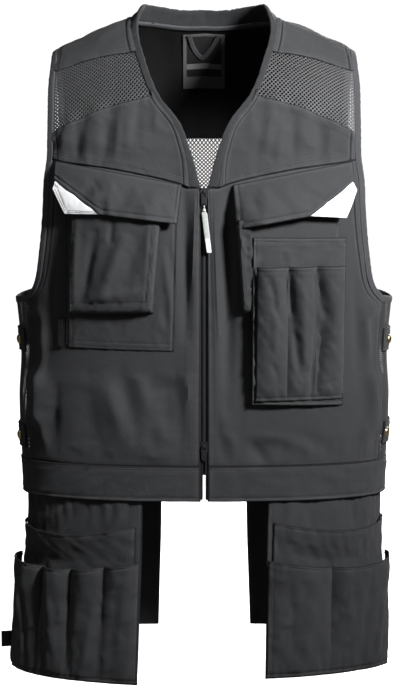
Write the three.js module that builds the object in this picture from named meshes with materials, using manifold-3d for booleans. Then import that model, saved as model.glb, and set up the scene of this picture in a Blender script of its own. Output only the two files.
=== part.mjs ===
// Sleeveless work vest with a front zip, mesh inserts, chest pockets and four holsters that hang from
// its waistband. Millimetres, +Z up, the wearer faces -Y. The origin is the middle of the neck opening
// at the height of the seams where the collar meets the shoulders.
import * as THREE from "three";
import Module from "manifold-3d";
import { mergeVertices } from "three/addons/utils/BufferGeometryUtils.js";

const wasm = await Module();
wasm.setup();

// Driving dimensions of the body
const bodyLength = 622; // neck point down to the hem
const halfChest = 252; // middle of the body out to its side, at the chest
const frontDepth = 124; // middle of the body forward to the chest
const backDepth = 120; // middle of the body back to the shoulder blades
const roundness = 2.4; // exponent of the body's oval, where 2 is an ellipse
const shoulderStart = 170; // below the neck point, where front and back start to close over
const shoulderRun = 215; // length of cloth from there to the top of the shoulder
const neckHalf = 93; // middle out to the neck seam
const neckBack = 72; // length of cloth from the shoulder top down to the back neck seam
const backSeamRun = 60; // the same, down to the seam behind the shoulder
const collarHeight = 19;
const collarLean = 21; // how far the collar leans in at the sides
const collarThick = 3.2;
const bandHeight = 46;
const hangPast = 20; // how far the holsters reach up behind the band

// Driving dimensions of the cloth and the seams
const cloth = 1.6;
const meshCloth = 1.3;
const liningCloth = 1.0;
const seamGap = 0.6; // between two pieces edge to edge
const layGap = 0.6; // between two pieces that lie on each other
const bindWidth = 7.5;
const bindThick = 3.4;
const bandThick = 3.4; // folded cloth of the waistband
const frontEdge = 4.2; // zip middle out to the edge of each front
const strapWidth = 30;
const strapStart = 0.79; // ends of a strap, as shares of a quarter turn from the front
const strapEnd = 1.25;
const strapEase = 0.2;
const underarmDip = 5;
const backYokeLow = 0.257; // back yoke's lower seam, as a share of the body's length
const backMeshLow = 0.482; // back mesh's lower seam, the same
const pipingWide = 6;
const pipingThick = 2.6;
const pipingSink = 0.4; // extra depth of the piping, for the curve of the lining
const pipingEnds = 0.1; // ends of the piping, as shares of the half circle round the neck

// Driving dimensions of the pockets
const patchDeep = 2.5;
const bellowsRightDeep = 14;
const bellowsLeftDeep = 24;
const toolHem = 12; // width of the tool panel's sewn outer edge
const sleeveTop = 0.511; // tool sleeves' mouths and ends, as shares of the body's length
const sleeveLow = 0.788;
const sleeveDeep = 13;
const flapDrop = 58; // length over which a flap comes forward
const holsterDeep = 12;
const nailDeep = 19;
const mouthSag = 12; // how far a holster pocket's mouth sags in the middle
const mouthOverlap = 12; // how far the high pocket runs down behind the low one
const tagDown = 1.316; // holster tag, as a share of the body's length
const tagReach = 14;
const tagTall = 21;
const tagLift = 1.6;

// Driving dimensions of the hardware
const zipMiddle = 0.3; // middle out to the closed teeth
const zipParting = 1.4; // how much further they part below the lower slider
const toothWidth = 2.2;
const toothDrop = 0.4; // teeth's face below the cloth's
const tapeWidth = 13;
const zipThick = 1.2;
const sliderWidth = 9;
const sliderLength = 13;
const sliderPlate = 1.6;
const sliderClear = 0.8;
const postWide = 2.2;
const postLong = 4;
const lowSliderDown = 0.8842; // lower slider, as a share of the body's length
const crownRadius = 3.6;
const crownHole = 1.7;
const crownWidth = 2.2;
const pullBar = 1.2;
const pullWindow = 4.6;
const pullClear = 0.5;
const pullTabLength = 18;
const pullTabWidth = 7;
const knotRadius = 2.6;
const gripWidth = 7.6;
const gripLength = 52;
const gripThick = 2.4;
const gripTilt = 0.12; // how far the grip hangs askew, in radians
const snapRadius = 6.2;
const snapHeight = 3.6;
const labelWide = 56;
const labelTall = 74;
const loopWidth = 6;
const loopThick = 1.2;
const loopDrop = 36;
const loopSpan = 40;

// The body's section at heights down from the neck point, as a share of the body's length.
const bodyProfile = [
  { down: -0.1, width: 1.0, front: 0.77, back: 0.8 },
  { down: 0.0, width: 1.0, front: 0.79, back: 0.85 },
  { down: 0.24, width: 1.0, front: 0.903, back: 0.983 },
  { down: 0.4, width: 1.0, front: 0.984, back: 1.0 },
  { down: 0.56, width: 0.985, front: 1.0, back: 0.933 },
  { down: 0.7, width: 0.957, front: 0.96, back: 0.87 },
  { down: 0.8, width: 0.968, front: 0.94, back: 0.865 },
  { down: 0.9, width: 0.96, front: 0.918, back: 0.868 },
  { down: 1.0, width: 0.948, front: 0.903, back: 0.883 },
  { down: 1.13, width: 0.964, front: 0.903, back: 0.9 },
  { down: 1.22, width: 0.992, front: 0.92, back: 0.915 },
  { down: 1.42, width: 1.05, front: 0.965, back: 0.94 },
];

// The top of the shoulder: out as a share of halfChest, down as a share of bodyLength.
const shoulderTop = [
  { out: 0.0, down: -0.019 },
  { out: 0.24, down: -0.0096 },
  { out: 0.37, down: 0.005 },
  { out: 0.476, down: 0.0177 },
  { out: 0.635, down: 0.045 },
  { out: 0.734, down: 0.064 },
  { out: 0.794, down: 0.084 },
  { out: 0.853, down: 0.121 },
  { out: 1.0, down: 0.241 },
];

// Seams and edges seen from the front, in the same shares.
const neckLineRows = [
  { out: 0.071, down: 0.353 },
  { out: 0.087, down: 0.297 },
  { out: 0.107, down: 0.267 },
  { out: 0.147, down: 0.2235 },
  { out: 0.262, down: 0.161 },
  { out: 0.341, down: 0.077 },
  { out: 0.361, down: 0.048 },
  { out: neckHalf / halfChest, down: 0.022 },
  { out: neckHalf / halfChest, down: 0.0062 },
];
const armLineRows = [
  { out: 0.754, down: 0.07 },
  { out: 0.757, down: 0.1 },
  { out: 0.764, down: 0.145 },
  { out: 0.764, down: 0.217 },
  { out: 0.768, down: 0.296 },
  { out: 0.784, down: 0.339 },
  { out: 0.794, down: 0.413 },
  { out: 0.813, down: 0.487 },
  { out: 0.837, down: 0.547 },
  { out: 0.865, down: 0.574 },
  { out: 0.905, down: 0.593 },
];
const backArmLineRows = [
  { out: 0.75, down: 0.0905 },
  { out: 0.742, down: 0.16 },
  { out: 0.742, down: 0.26 },
  { out: 0.75, down: 0.36 },
  { out: 0.78, down: 0.466 },
  { out: 0.82, down: 0.547 },
  { out: 0.86, down: 0.578 },
  { out: 0.905, down: 0.593 },
];
const yokeSeamRows = [
  { out: 0.32, down: 0.0735 },
  { out: 0.341, down: 0.077 },
  { out: 0.552, down: 0.0916 },
  { out: 0.7585, down: 0.1175 },
  { out: 0.79, down: 0.122 },
];
const meshSeamRows = [
  { out: 0.23, down: 0.1515 },
  { out: 0.262, down: 0.161 },
  { out: 0.516, down: 0.1945 },
  { out: 0.765, down: 0.243 },
  { out: 0.8, down: 0.25 },
];
const chestSeamRows = [
  { out: frontEdge / halfChest, down: 0.353 },
  { out: 0.143, down: 0.342 },
  { out: 0.43, down: 0.317 },
  { out: 0.768, down: 0.296 },
  { out: 0.8, down: 0.294 },
];
const sideSeamRows = [
  { out: 0.905, down: 0.593 },
  { out: 0.898, down: 0.66 },
  { out: 0.896, down: 0.72 },
  { out: 0.905, down: 0.8 },
  { out: 0.903, down: 0.88 },
  { out: 0.9, down: 1.0 },
];

// Folds of the cloth: each runs from one point to another, with its width and height in shares of
// halfChest. Out is negative on the wearer's right.
const frontFolds = [
  { out: -0.68, down: 0.22, toOut: -0.71, toDown: 0.3, width: 0.045, height: 0.018 },
  { out: -0.54, down: 0.2, toOut: -0.56, toDown: 0.29, width: 0.045, height: 0.016 },
  { out: -0.38, down: 0.19, toOut: -0.4, toDown: 0.28, width: 0.05, height: 0.012 },
  { out: 0.34, down: 0.19, toOut: 0.28, toDown: 0.3, width: 0.055, height: 0.02 },
  { out: 0.5, down: 0.2, toOut: 0.52, toDown: 0.28, width: 0.05, height: 0.014 },
  { out: 0.66, down: 0.22, toOut: 0.67, toDown: 0.28, width: 0.045, height: 0.016 },
  { out: -0.1, down: 0.5, toOut: -0.2, toDown: 0.82, width: 0.06, height: -0.02 },
  { out: -0.82, down: 0.62, toOut: -0.86, toDown: 0.83, width: 0.05, height: 0.03 },
  { out: 0.84, down: 0.6, toOut: 0.87, toDown: 0.85, width: 0.05, height: 0.026 },
  { out: -0.62, down: 0.72, toOut: -0.35, toDown: 0.88, width: 0.09, height: 0.014 },
  { out: 0.4, down: 0.86, toOut: 0.28, toDown: 0.9, width: 0.07, height: -0.012 },
];
const backFolds = [
  { out: -0.3, down: 0.55, toOut: -0.22, toDown: 0.9, width: 0.08, height: 0.02 },
  { out: 0.28, down: 0.55, toOut: 0.34, toDown: 0.9, width: 0.08, height: 0.02 },
  { out: -0.62, down: 0.55, toOut: -0.6, toDown: 0.85, width: 0.07, height: -0.016 },
  { out: 0.64, down: 0.58, toOut: 0.6, toDown: 0.85, width: 0.07, height: -0.016 },
];

// Where the front lies flat under pockets and straps, so that no fold runs there
const flatZones = [
  { from: -0.78, to: -0.1, top: 0.29, low: 0.73 },
  { from: 0.13, to: 0.78, top: 0.29, low: 0.85 },
  { from: -0.1, to: 0.1, top: 0.34, low: 1.0 },
  { from: -1.0, to: 1.0, top: 0.93, low: 1.1 },
  { from: 0.86, to: 1.0, top: 0.64, low: 0.72 },
  { from: -1.0, to: -0.86, top: 0.64, low: 0.72 },
];

// The neck band, along the neck seam from the foot of the V to the middle of the back: how far it
// reaches in, as a share of collarLean, and up, as a share of collarHeight.
const neckBandRows = [
  { along: 0.0, inward: 0.66, rise: 0.0 },
  { along: 0.1, inward: 0.42, rise: 0.04 },
  { along: 0.25, inward: 0.32, rise: 0.12 },
  { along: 0.42, inward: 0.34, rise: 0.2 },
  { along: 0.55, inward: 0.34, rise: 0.32 },
  { along: 0.61, inward: 0.6, rise: 0.62 },
  { along: 0.67, inward: 1.0, rise: 1.0 },
  { along: 0.82, inward: 0.6, rise: 1.0 },
  { along: 1.0, inward: 0.2, rise: 1.0 },
];

// Corners of the pieces laid on the front: inner top, outer top, outer low, inner low
const patchRows = [
  { out: 0.135, down: 0.404 },
  { out: 0.692, down: 0.386 },
  { out: 0.702, down: 0.682 },
  { out: 0.151, down: 0.6865 },
];
const bellowsRightRows = [
  { out: 0.212, down: 0.412 },
  { out: 0.668, down: 0.391 },
  { out: 0.686, down: 0.611 },
  { out: 0.274, down: 0.603 },
];
const bellowsLeftRows = [
  { out: 0.157, down: 0.418 },
  { out: 0.682, down: 0.403 },
  { out: 0.678, down: 0.79 },
  { out: 0.232, down: 0.785 },
];
const toolRows = [
  { out: 0.238, down: 0.452 },
  { out: 0.718, down: 0.455 },
  { out: 0.706, down: 0.802 },
  { out: 0.238, down: 0.795 },
];
const tagRows = [
  { out: 0.706, down: 0.622 },
  { out: 0.742, down: 0.622 },
  { out: 0.742, down: 0.682 },
  { out: 0.706, down: 0.682 },
];

// Depth across a pocket with a gusset, from its inner side: share of its full depth
const bellowsRows = [
  { across: 0.0, deep: 0.0 },
  { across: 0.05, deep: 1.0 },
  { across: 0.35, deep: 0.92 },
  { across: 0.65, deep: 0.7 },
  { across: 0.95, deep: 0.4 },
  { across: 1.0, deep: 0.0 },
];

// Where each tool sleeve starts and ends
const sleeveRows = [
  { from: 0.282, to: 0.408 },
  { from: 0.424, to: 0.53 },
  { from: 0.592, to: 0.698 },
];

// Flaps: inner top, outer top, outer end of the cut corner, its low end, inner low
const flapCorners = {
  right: [
    { out: 0.111, down: 0.346 },
    { out: 0.766, down: 0.299 },
    { out: 0.76, down: 0.338 },
    { out: 0.52, down: 0.408 },
    { out: 0.135, down: 0.426 },
  ],
  left: [
    { out: 0.143, down: 0.347 },
    { out: 0.766, down: 0.3 },
    { out: 0.76, down: 0.341 },
    { out: 0.528, down: 0.413 },
    { out: 0.159, down: 0.437 },
  ],
};
const tabCorners = {
  right: [
    { out: 0.764, down: 0.357 },
    { out: 0.698, down: 0.407 },
  ],
  left: [
    { out: 0.77, down: 0.359 },
    { out: 0.71, down: 0.418 },
  ],
};
const flapStand = { right: 27, left: 35 };
const flapRows = [
  { across: 0.0, stand: 0.45 },
  { across: 0.14, stand: 0.86 },
  { across: 0.25, stand: 1.0 },
  { across: 0.6, stand: 0.8 },
  { across: 1.0, stand: 0.5 },
];

// Side straps: level, share of the body's length down, and the stud's place as a share of a
// quarter turn from the middle of the front
const strapRows = [
  { side: "right", level: "upper", down: 0.675, studAt: 0.885 },
  { side: "right", level: "lower", down: 0.878, studAt: 0.885 },
  { side: "left", level: "upper", down: 0.675, studAt: 0.885 },
  { side: "left", level: "lower", down: 0.87, studAt: 0.84 },
];

// Holsters: edges as shares of a quarter turn, heights as shares of the body's length, seams
// between their channels as shares of their width.
const holsterRows = [
  {
    name: "front_holster", side: "right", innerTop: 0.173, innerLow: 0.171, outerTop: 0.88,
    outerLow: 0.89, highMouth: 1.054, lowMouth: 1.127, low: 1.386, lowTilt: 0.012,
    seams: [0.19, 0.39, 0.62], bulge: 1.1,
  },
  {
    name: "front_holster", side: "left", innerTop: 0.184, innerLow: 0.154, outerTop: 0.875,
    outerLow: 0.75, highMouth: 1.045, lowMouth: 1.123, low: 1.372, lowTilt: 0.01,
    seams: [0.42], bulge: 0.55,
  },
  {
    name: "back_holster", side: "right", innerTop: 1.883, innerLow: 1.883, outerTop: 1.28,
    outerLow: 1.28, highMouth: 0, lowMouth: 1.11, low: 1.333, lowTilt: 0,
    seams: [0.5], bulge: 0.45,
  },
  {
    name: "back_holster", side: "left", innerTop: 1.883, innerLow: 1.88, outerTop: 1.28,
    outerLow: 1.28, highMouth: 0, lowMouth: 1.11, low: 1.333, lowTilt: 0,
    seams: [0.5], bulge: 0.45,
  },
];

// Colours of the cloth and the metal
const finish = (color, roughness, metalness = 0) =>
  new THREE.MeshStandardMaterial({ color, roughness, metalness });
const twill = finish(0x46474a, 0.85);
const darkTwill = finish(0x1c1c1e, 0.9);
const knit = finish(0x2a2b2d, 0.8);
const bindingCloth = finish(0x3c3d40, 0.8);
const reflective = finish(0xe9ebee, 0.4);
const brass = finish(0xb59a4c, 0.3, 1);
const blackMetal = finish(0x17181a, 0.35, 0.8);
const zipTape = finish(0x141416, 0.8);
const labelCloth = finish(0x101012, 0.7);
const gripRubber = finish(0xb9bfba, 0.5);

const vest = new THREE.Group();

function add(name, geometry, material, parent = vest) {
  const mesh = new THREE.Mesh(geometry, material);
  mesh.name = name;
  parent.add(mesh);
  return mesh;
}

// A smooth curve through the rows of a table: the named column as a function of the key column.
function tableCurve(rows, key, column) {
  const slope = (i) => {
    const before = rows[Math.max(0, i - 1)];
    const after = rows[Math.min(rows.length - 1, i + 1)];
    return (after[column] - before[column]) / (after[key] - before[key]);
  };
  return (at) => {
    const last = rows.length - 2;
    let i = 0;
    while (i < last && at > rows[i + 1][key]) i++;
    const span = rows[i + 1][key] - rows[i][key];
    const t = THREE.MathUtils.clamp((at - rows[i][key]) / span, 0, 1);
    const rise = rows[i + 1][column] - rows[i][column];
    const bendIn = slope(i) * span - rise;
    const bendOut = rise - slope(i + 1) * span;
    return rows[i][column] + t * rise + t * (1 - t) * ((1 - t) * bendIn + t * bendOut);
  };
}

const widthShare = tableCurve(bodyProfile, "down", "width");
const frontShare = tableCurve(bodyProfile, "down", "front");
const backShare = tableCurve(bodyProfile, "down", "back");
const topShare = tableCurve(shoulderTop, "out", "down");
const halfWidthAt = (z) => halfChest * widthShare(-z / bodyLength);
const depthAt = (z, rear) =>
  rear ? backDepth * backShare(-z / bodyLength) : -frontDepth * frontShare(-z / bodyLength);
const shoulderZ = (x) => -bodyLength * topShare(Math.abs(x) / halfChest);
const oval = (share) => Math.max(0, 1 - Math.min(1, share) ** roundness) ** (1 / roundness);
const signedPower = (value, power) => Math.sign(value) * Math.abs(value) ** power;

// Two ways to name a point of the body. "around" takes an angle from the middle of the front, 90
// degrees at the side, and a height. "overShoulder" takes the distance out from the middle and the
// length of cloth from the top of the shoulder, negative in front and positive behind.
const around = {
  from([x, z], rear) {
    const angle = Math.asin(Math.min(1, Math.abs(x) / halfWidthAt(z)) ** (roundness / 2));
    return [rear ? Math.PI - angle : angle, z];
  },
  point([angle, z]) {
    const x = halfWidthAt(z) * signedPower(Math.sin(angle), 2 / roundness);
    const y = depthAt(z, angle > Math.PI / 2) * Math.abs(Math.cos(angle)) ** (2 / roundness);
    return new THREE.Vector3(x, y, z);
  },
};
const overShoulder = {
  from([x, z], rear) {
    const rise = Math.min(1, (z + shoulderStart) / (shoulderZ(x) + shoulderStart));
    const run = rise > 0
      ? shoulderRun * (1 - Math.asin(rise) / (Math.PI / 2))
      : shoulderRun - z - shoulderStart;
    return [x, rear ? run : -run];
  },
  point([x, run]) {
    const length = Math.abs(run);
    const turn = (Math.PI / 2) * Math.max(0, 1 - length / shoulderRun);
    const rise = Math.sin(turn) * (shoulderZ(x) + shoulderStart);
    const z = -shoulderStart + rise - Math.max(0, length - shoulderRun);
    const deep = depthAt(z, run > 0) * oval(Math.abs(x) / halfWidthAt(z));
    return new THREE.Vector3(x, deep * Math.cos(turn), z);
  },
};

const core = new THREE.Vector3(0, 0, -0.48 * bodyLength);

// The direction square to a surface(u, v), by the right-hand rule from u to v.
function squareTo(surface, u, v, stepU, stepV) {
  const across = surface(u + stepU, v).sub(surface(u - stepU, v));
  const along = surface(u, v + stepV).sub(surface(u, v - stepV));
  return across.cross(along).normalize();
}

// How far the folds push a point out of the smooth body. They die out under the pockets.
function foldLift(x, z, rear) {
  const out = x / halfChest;
  const down = -z / bodyLength;
  const tall = bodyLength / halfChest;
  const open = flatZones.reduce((share, zone) => {
    const aside = Math.max(zone.from - out, out - zone.to, 0);
    const below = Math.max(zone.top - down, down - zone.low, 0) * tall;
    return share * (rear ? 1 : THREE.MathUtils.smoothstep(Math.hypot(aside, below), 0, 0.09));
  }, 1);
  return (rear ? backFolds : frontFolds).reduce((sum, fold) => {
    const alongX = fold.toOut - fold.out;
    const alongZ = (fold.toDown - fold.down) * tall;
    const offX = out - fold.out;
    const offZ = (down - fold.down) * tall;
    const share = (offX * alongX + offZ * alongZ) / (alongX * alongX + alongZ * alongZ);
    const held = THREE.MathUtils.clamp(share, 0, 1);
    const distance = Math.hypot(offX - held * alongX, offZ - held * alongZ);
    return sum + open * halfChest * fold.height * Math.exp(-((distance / fold.width) ** 2));
  }, 0);
}

// A place on the body in one of the charts, with its outward direction; hand -1 is the wearer's right.
function bodyFrame(chart, place, hand = 1) {
  const smooth = (a, b) => chart.point([a, b]);
  const point = smooth(...place);
  const normal = squareTo(smooth, place[0], place[1], chart === around ? 0.01 : 1, 1);
  const away = point.clone().sub(core);
  if (normal.dot(away) < 0) normal.negate();
  const folds = foldLift(hand * point.x, point.z, point.y > 0);
  point.addScaledVector(normal, folds);
  point.x *= hand;
  normal.x *= hand;
  return { point, normal };
}
function onBody(chart, place, hand, lift = 0) {
  const { point, normal } = bodyFrame(chart, place, hand);
  return point.addScaledVector(normal, lift);
}

const mix = (a, b, t) => a.map((value, i) => value + (b[i] - value) * t);
const line = (from, to) => (t) => mix(from, to, t);
const backwards = (edge) => (t) => edge(1 - t);
const joined = (first, second, share) => (t) =>
  t < share ? first(t / share) : second((t - share) / (1 - share));
const even = (count) => Array.from({ length: count + 1 }, (_, i) => i / count);
const flat = ([a, b]) => new THREE.Vector3(a, b, 0);

// A smooth line through places of the same kind.
function lineThrough(places) {
  const curve = new THREE.CatmullRomCurve3(places.map(flat));
  return (t) => {
    const point = curve.getPointAt(THREE.MathUtils.clamp(t, 0, 1));
    return [point.x, point.y];
  };
}
const frontView = (rows) => rows.map((row) => [row.out * halfChest, -row.down * bodyLength]);
const shoulderPlaces = (rows, rear = false) =>
  frontView(rows).map((place) => overShoulder.from(place, rear));

// The share along a line at which its second value, rising or falling, reaches a wanted one.
function shareAt(edge, wanted) {
  const rising = edge(1)[1] > edge(0)[1];
  let low = 0;
  let high = 1;
  for (let i = 0; i < 30; i++) {
    const middle = (low + high) / 2;
    if (edge(middle)[1] < wanted === rising) low = middle;
    else high = middle;
  }
  return (low + high) / 2;
}
const stretch = (edge, from, to) => {
  const [start, end] = [shareAt(edge, from), shareAt(edge, to)];
  return (t) => edge(start + t * (end - start));
};

// The same place named the other way.
const toAround = ([x, run]) => around.from([x, overShoulder.point([x, run]).z], run > 0);
const reread = (edge) => (t) => toAround(edge(t));

// An edge from one side of the body to the other, from its half up to the middle of the back.
const acrossShoulders = (half) => (t) => {
  const [x, run] = half(1 - Math.abs(2 * t - 1));
  return [t < 0.5 ? x : -x, run];
};
const acrossBack = (half) => (t) => {
  const [angle, z] = half(1 - Math.abs(2 * t - 1));
  return [t < 0.5 ? angle : 2 * Math.PI - angle, z];
};

// Fills the places between four edges.
const patch = (top, bottom, left, right) => (u, v) => {
  const rule = mix(top(u), bottom(u), v);
  const side = mix(left(v), right(v), u);
  const corner = mix(mix(top(0), top(1), u), mix(bottom(0), bottom(1), u), v);
  return rule.map((value, i) => value + side[i] - corner[i]);
};

// Turns a closed mesh's faces outwards if they point in.
function facingOut(positions, faces) {
  const corner = (i) => new THREE.Vector3().fromArray(positions, 3 * faces[i]);
  let volume = 0;
  for (let i = 0; i < faces.length; i += 3)
    volume += corner(i).dot(corner(i + 1).cross(corner(i + 2)));
  if (volume < 0) faces.reverse();
  const geometry = new THREE.BufferGeometry();
  geometry.setAttribute("position", new THREE.Float32BufferAttribute(positions, 3));
  geometry.setIndex(faces);
  return geometry;
}

// A closed sheet of cloth between two offsets from a surface, on a grid of shares.
function sheet(surface, us, vs, low, high) {
  const inside = (t) => THREE.MathUtils.clamp(t, 0, 1);
  const held = (u, v) => surface(inside(u), inside(v));
  const middle = held(0.5, 0.5).sub(core);
  const turn = squareTo(held, 0.5, 0.5, 0.01, 0.01).dot(middle) < 0 ? -1 : 1;
  const positions = [];
  for (const offset of [high, low])
    for (const v of vs)
      for (const u of us) {
        const normal = squareTo(held, u, v, 0.004, 0.004);
        positions.push(...held(u, v).addScaledVector(normal, turn * offset).toArray());
      }
  const at = (i, j, under = 0) => under * us.length * vs.length + j * us.length + i;
  const faces = [];
  const quad = (a, b, c, d) => faces.push(a, b, c, a, c, d);
  const endU = us.length - 1;
  const endV = vs.length - 1;
  for (let j = 0; j < endV; j++)
    for (let i = 0; i < endU; i++) {
      quad(at(i, j), at(i + 1, j), at(i + 1, j + 1), at(i, j + 1));
      quad(at(i, j, 1), at(i, j + 1, 1), at(i + 1, j + 1, 1), at(i + 1, j, 1));
    }
  for (let i = 0; i < endU; i++) {
    quad(at(i, 0, 1), at(i + 1, 0, 1), at(i + 1, 0), at(i, 0));
    quad(at(i, endV), at(i + 1, endV), at(i + 1, endV, 1), at(i, endV, 1));
  }
  for (let j = 0; j < endV; j++) {
    quad(at(0, j), at(0, j + 1), at(0, j + 1, 1), at(0, j, 1));
    quad(at(endU, j + 1), at(endU, j), at(endU, j, 1), at(endU, j + 1, 1));
  }
  return facingOut(positions, faces);
}

// A body through a row of sections with the same number of corners, closed on itself or capped.
function loft(sections, closed = false) {
  const sides = sections[0].length;
  const at = (i, k) => (i % sections.length) * sides + (k % sides);
  const faces = [];
  const last = sections.length - 1;
  for (let i = 0; i < (closed ? last + 1 : last); i++)
    for (let k = 0; k < sides; k++) {
      faces.push(at(i, k), at(i, k + 1), at(i + 1, k + 1));
      faces.push(at(i, k), at(i + 1, k + 1), at(i + 1, k));
    }
  for (let k = 1; !closed && k < sides - 1; k++) {
    faces.push(at(0, 0), at(0, k + 1), at(0, k));
    faces.push(at(last, 0), at(last, k), at(last, k + 1));
  }
  return facingOut(sections.flat().flatMap((point) => point.toArray()), faces);
}

function lengthOf(surface, from, to) {
  const points = even(8).map((t) => surface(...mix(from, to, t)));
  return points.slice(1).reduce((sum, point, i) => sum + point.distanceTo(points[i]), 0);
}

// A panel of the body: its patch, lifted, with half a seam gap taken off each edge.
function bodyPanel(chart, fill, hand, us, vs, low = -cloth, high = 0) {
  const raw = (u, v) => onBody(chart, fill(u, v), hand);
  const wide = Math.min(...[0, 0.5, 1].map((v) => lengthOf(raw, [0, v], [1, v])));
  const tall = Math.min(...[0, 0.5, 1].map((u) => lengthOf(raw, [u, 0], [u, 1])));
  const [trimU, trimV] = [seamGap / 2 / wide, seamGap / 2 / tall];
  const trimmed = (u, v) => raw(trimU + u * (1 - 2 * trimU), trimV + v * (1 - 2 * trimV));
  return sheet(trimmed, us, vs, low, high);
}

// Joins closed geometries into one.
function solidOf(geometry) {
  const bare = geometry.clone();
  for (const name of ["normal", "uv"]) bare.deleteAttribute(name);
  const merged = mergeVertices(bare, 1e-4);
  return new wasm.Manifold(
    new wasm.Mesh({
      numProp: 3,
      vertProperties: merged.attributes.position.array,
      triVerts: new Uint32Array(merged.index.array),
    }),
  );
}
function unite(...geometries) {
  const mesh = geometries.map(solidOf).reduce((whole, piece) => whole.add(piece)).getMesh();
  const geometry = new THREE.BufferGeometry();
  geometry.setAttribute("position", new THREE.BufferAttribute(mesh.vertProperties, 3));
  geometry.setIndex(new THREE.BufferAttribute(mesh.triVerts, 1));
  return geometry;
}
const block = (wide, deep, tall, x = 0, y = 0, z = 0) =>
  new THREE.BoxGeometry(wide, deep, tall).translate(x, y, z);

const hands = [
  { side: "right", hand: -1 },
  { side: "left", hand: 1 },
];

// The seams, as places over the shoulder
const underarmZ = -armLineRows.at(-1).down * bodyLength;
const neckCorner = overShoulder.from([neckHalf, -neckLineRows.at(-1).down * bodyLength])[1];
const neckArc = (turn) => [neckHalf * Math.cos(turn), neckBack * Math.sin(turn)];
const neckEdge = lineThrough([
  ...shoulderPlaces(neckLineRows),
  ...even(6).map((t) => neckArc((t * Math.PI) / 2)),
]);
const armEdge = lineThrough([
  ...shoulderPlaces(armLineRows).reverse(),
  ...shoulderPlaces(backArmLineRows, true),
]);
function crossSeam(rows, rear = false) {
  const places = shoulderPlaces(rows, rear);
  const start = neckEdge(shareAt(neckEdge, places[0][1]));
  const end = armEdge(shareAt(armEdge, places.at(-1)[1]));
  const edge = lineThrough([start, ...places.slice(1, -1), end]);
  return Object.assign(edge, { neckRun: start[1], armRun: end[1] });
}
const yokeSeam = crossSeam(yokeSeamRows);
const meshSeam = crossSeam(meshSeamRows);
const chestSeam = crossSeam(chestSeamRows);
const arcRun = neckBack * Math.sin(0.7);
const shoulderSeam = line(
  neckEdge(shareAt(neckEdge, arcRun)),
  armEdge(shareAt(armEdge, backSeamRun)),
);
const bandTop = -bodyLength + bandHeight;
const runAt = (down) => shoulderRun + down * bodyLength - shoulderStart;
const backYokeRun = overShoulder.from([0, -backYokeLow * bodyLength], true)[1];
const backYokeSeam = (t) => line(armEdge(shareAt(armEdge, backYokeRun)), [0, backYokeRun])(t);
const backMeshSeam = line(
  armEdge(shareAt(armEdge, runAt(backMeshLow))),
  [0, runAt(backMeshLow)],
);
const sideLine = lineThrough(frontView(sideSeamRows));
const sideEdge = (rear) => (t) => around.from(stretch(sideLine, underarmZ, bandTop)(t), rear);

// Front panels, from the chest seam to the band
for (const { side, hand } of hands) {
  const chestIn = [frontEdge, chestSeam(0)[1]];
  const top = joined(line(chestIn, chestSeam(0)), chestSeam, 0.1);
  const armSide = stretch(armEdge, chestSeam.armRun, armEdge(0)[1]);
  const outer = joined(reread(armSide), sideEdge(false), 0.5);
  const inner = line(toAround(chestIn), around.from([frontEdge, bandTop]));
  const bottom = line(inner(1), outer(1));
  const fill = patch(reread(top), bottom, inner, outer);
  add(`front_panel_${side}`, bodyPanel(around, fill, hand, even(10), even(12)), twill);
}

// Chest panels, between the chest seam and the shoulder mesh
for (const { side, hand } of hands) {
  const inner = stretch(neckEdge, meshSeam.neckRun, chestSeam.neckRun);
  const outer = stretch(armEdge, meshSeam.armRun, chestSeam.armRun);
  const fill = patch(meshSeam, chestSeam, inner, outer);
  add(`chest_panel_${side}`, bodyPanel(overShoulder, fill, hand, even(9), even(4)), twill);
}

// Mesh at the front of the shoulder
for (const { side, hand } of hands) {
  const inner = stretch(neckEdge, meshSeam.neckRun, yokeSeam.neckRun);
  const outer = stretch(armEdge, meshSeam.armRun, yokeSeam.armRun);
  const fill = patch(meshSeam, yokeSeam, inner, outer);
  const body = bodyPanel(overShoulder, fill, hand, even(9), even(3), -meshCloth, 0);
  add(`shoulder_mesh_${side}`, body, knit);
}

// Shoulder yokes, over the top of the shoulder to the seam behind it
for (const { side, hand } of hands) {
  const inner = stretch(neckEdge, yokeSeam.neckRun, arcRun);
  const outer = stretch(armEdge, yokeSeam.armRun, backSeamRun);
  const fill = patch(yokeSeam, shoulderSeam, inner, outer);
  add(`shoulder_yoke_${side}`, bodyPanel(overShoulder, fill, hand, even(6), even(8)), twill);
}

// Back yoke and its dark lining
{
  const topHalf = joined(backwards(shoulderSeam), stretch(neckEdge, arcRun, neckBack), 0.4);
  const outer = stretch(armEdge, backSeamRun, backYokeRun);
  const flipped = (t) => [-outer(t)[0], outer(t)[1]];
  const top = acrossShoulders(topHalf);
  const fill = patch(top, acrossShoulders(backYokeSeam), outer, flipped);
  const [us, vs] = [even(20), even(5)];
  add("back_yoke", bodyPanel(overShoulder, fill, 1, us, vs), twill);
  const face = -cloth - layGap;
  const lining = bodyPanel(overShoulder, fill, 1, us, vs, face - liningCloth, face);
  add("yoke_lining", lining, darkTwill);
}

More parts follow.
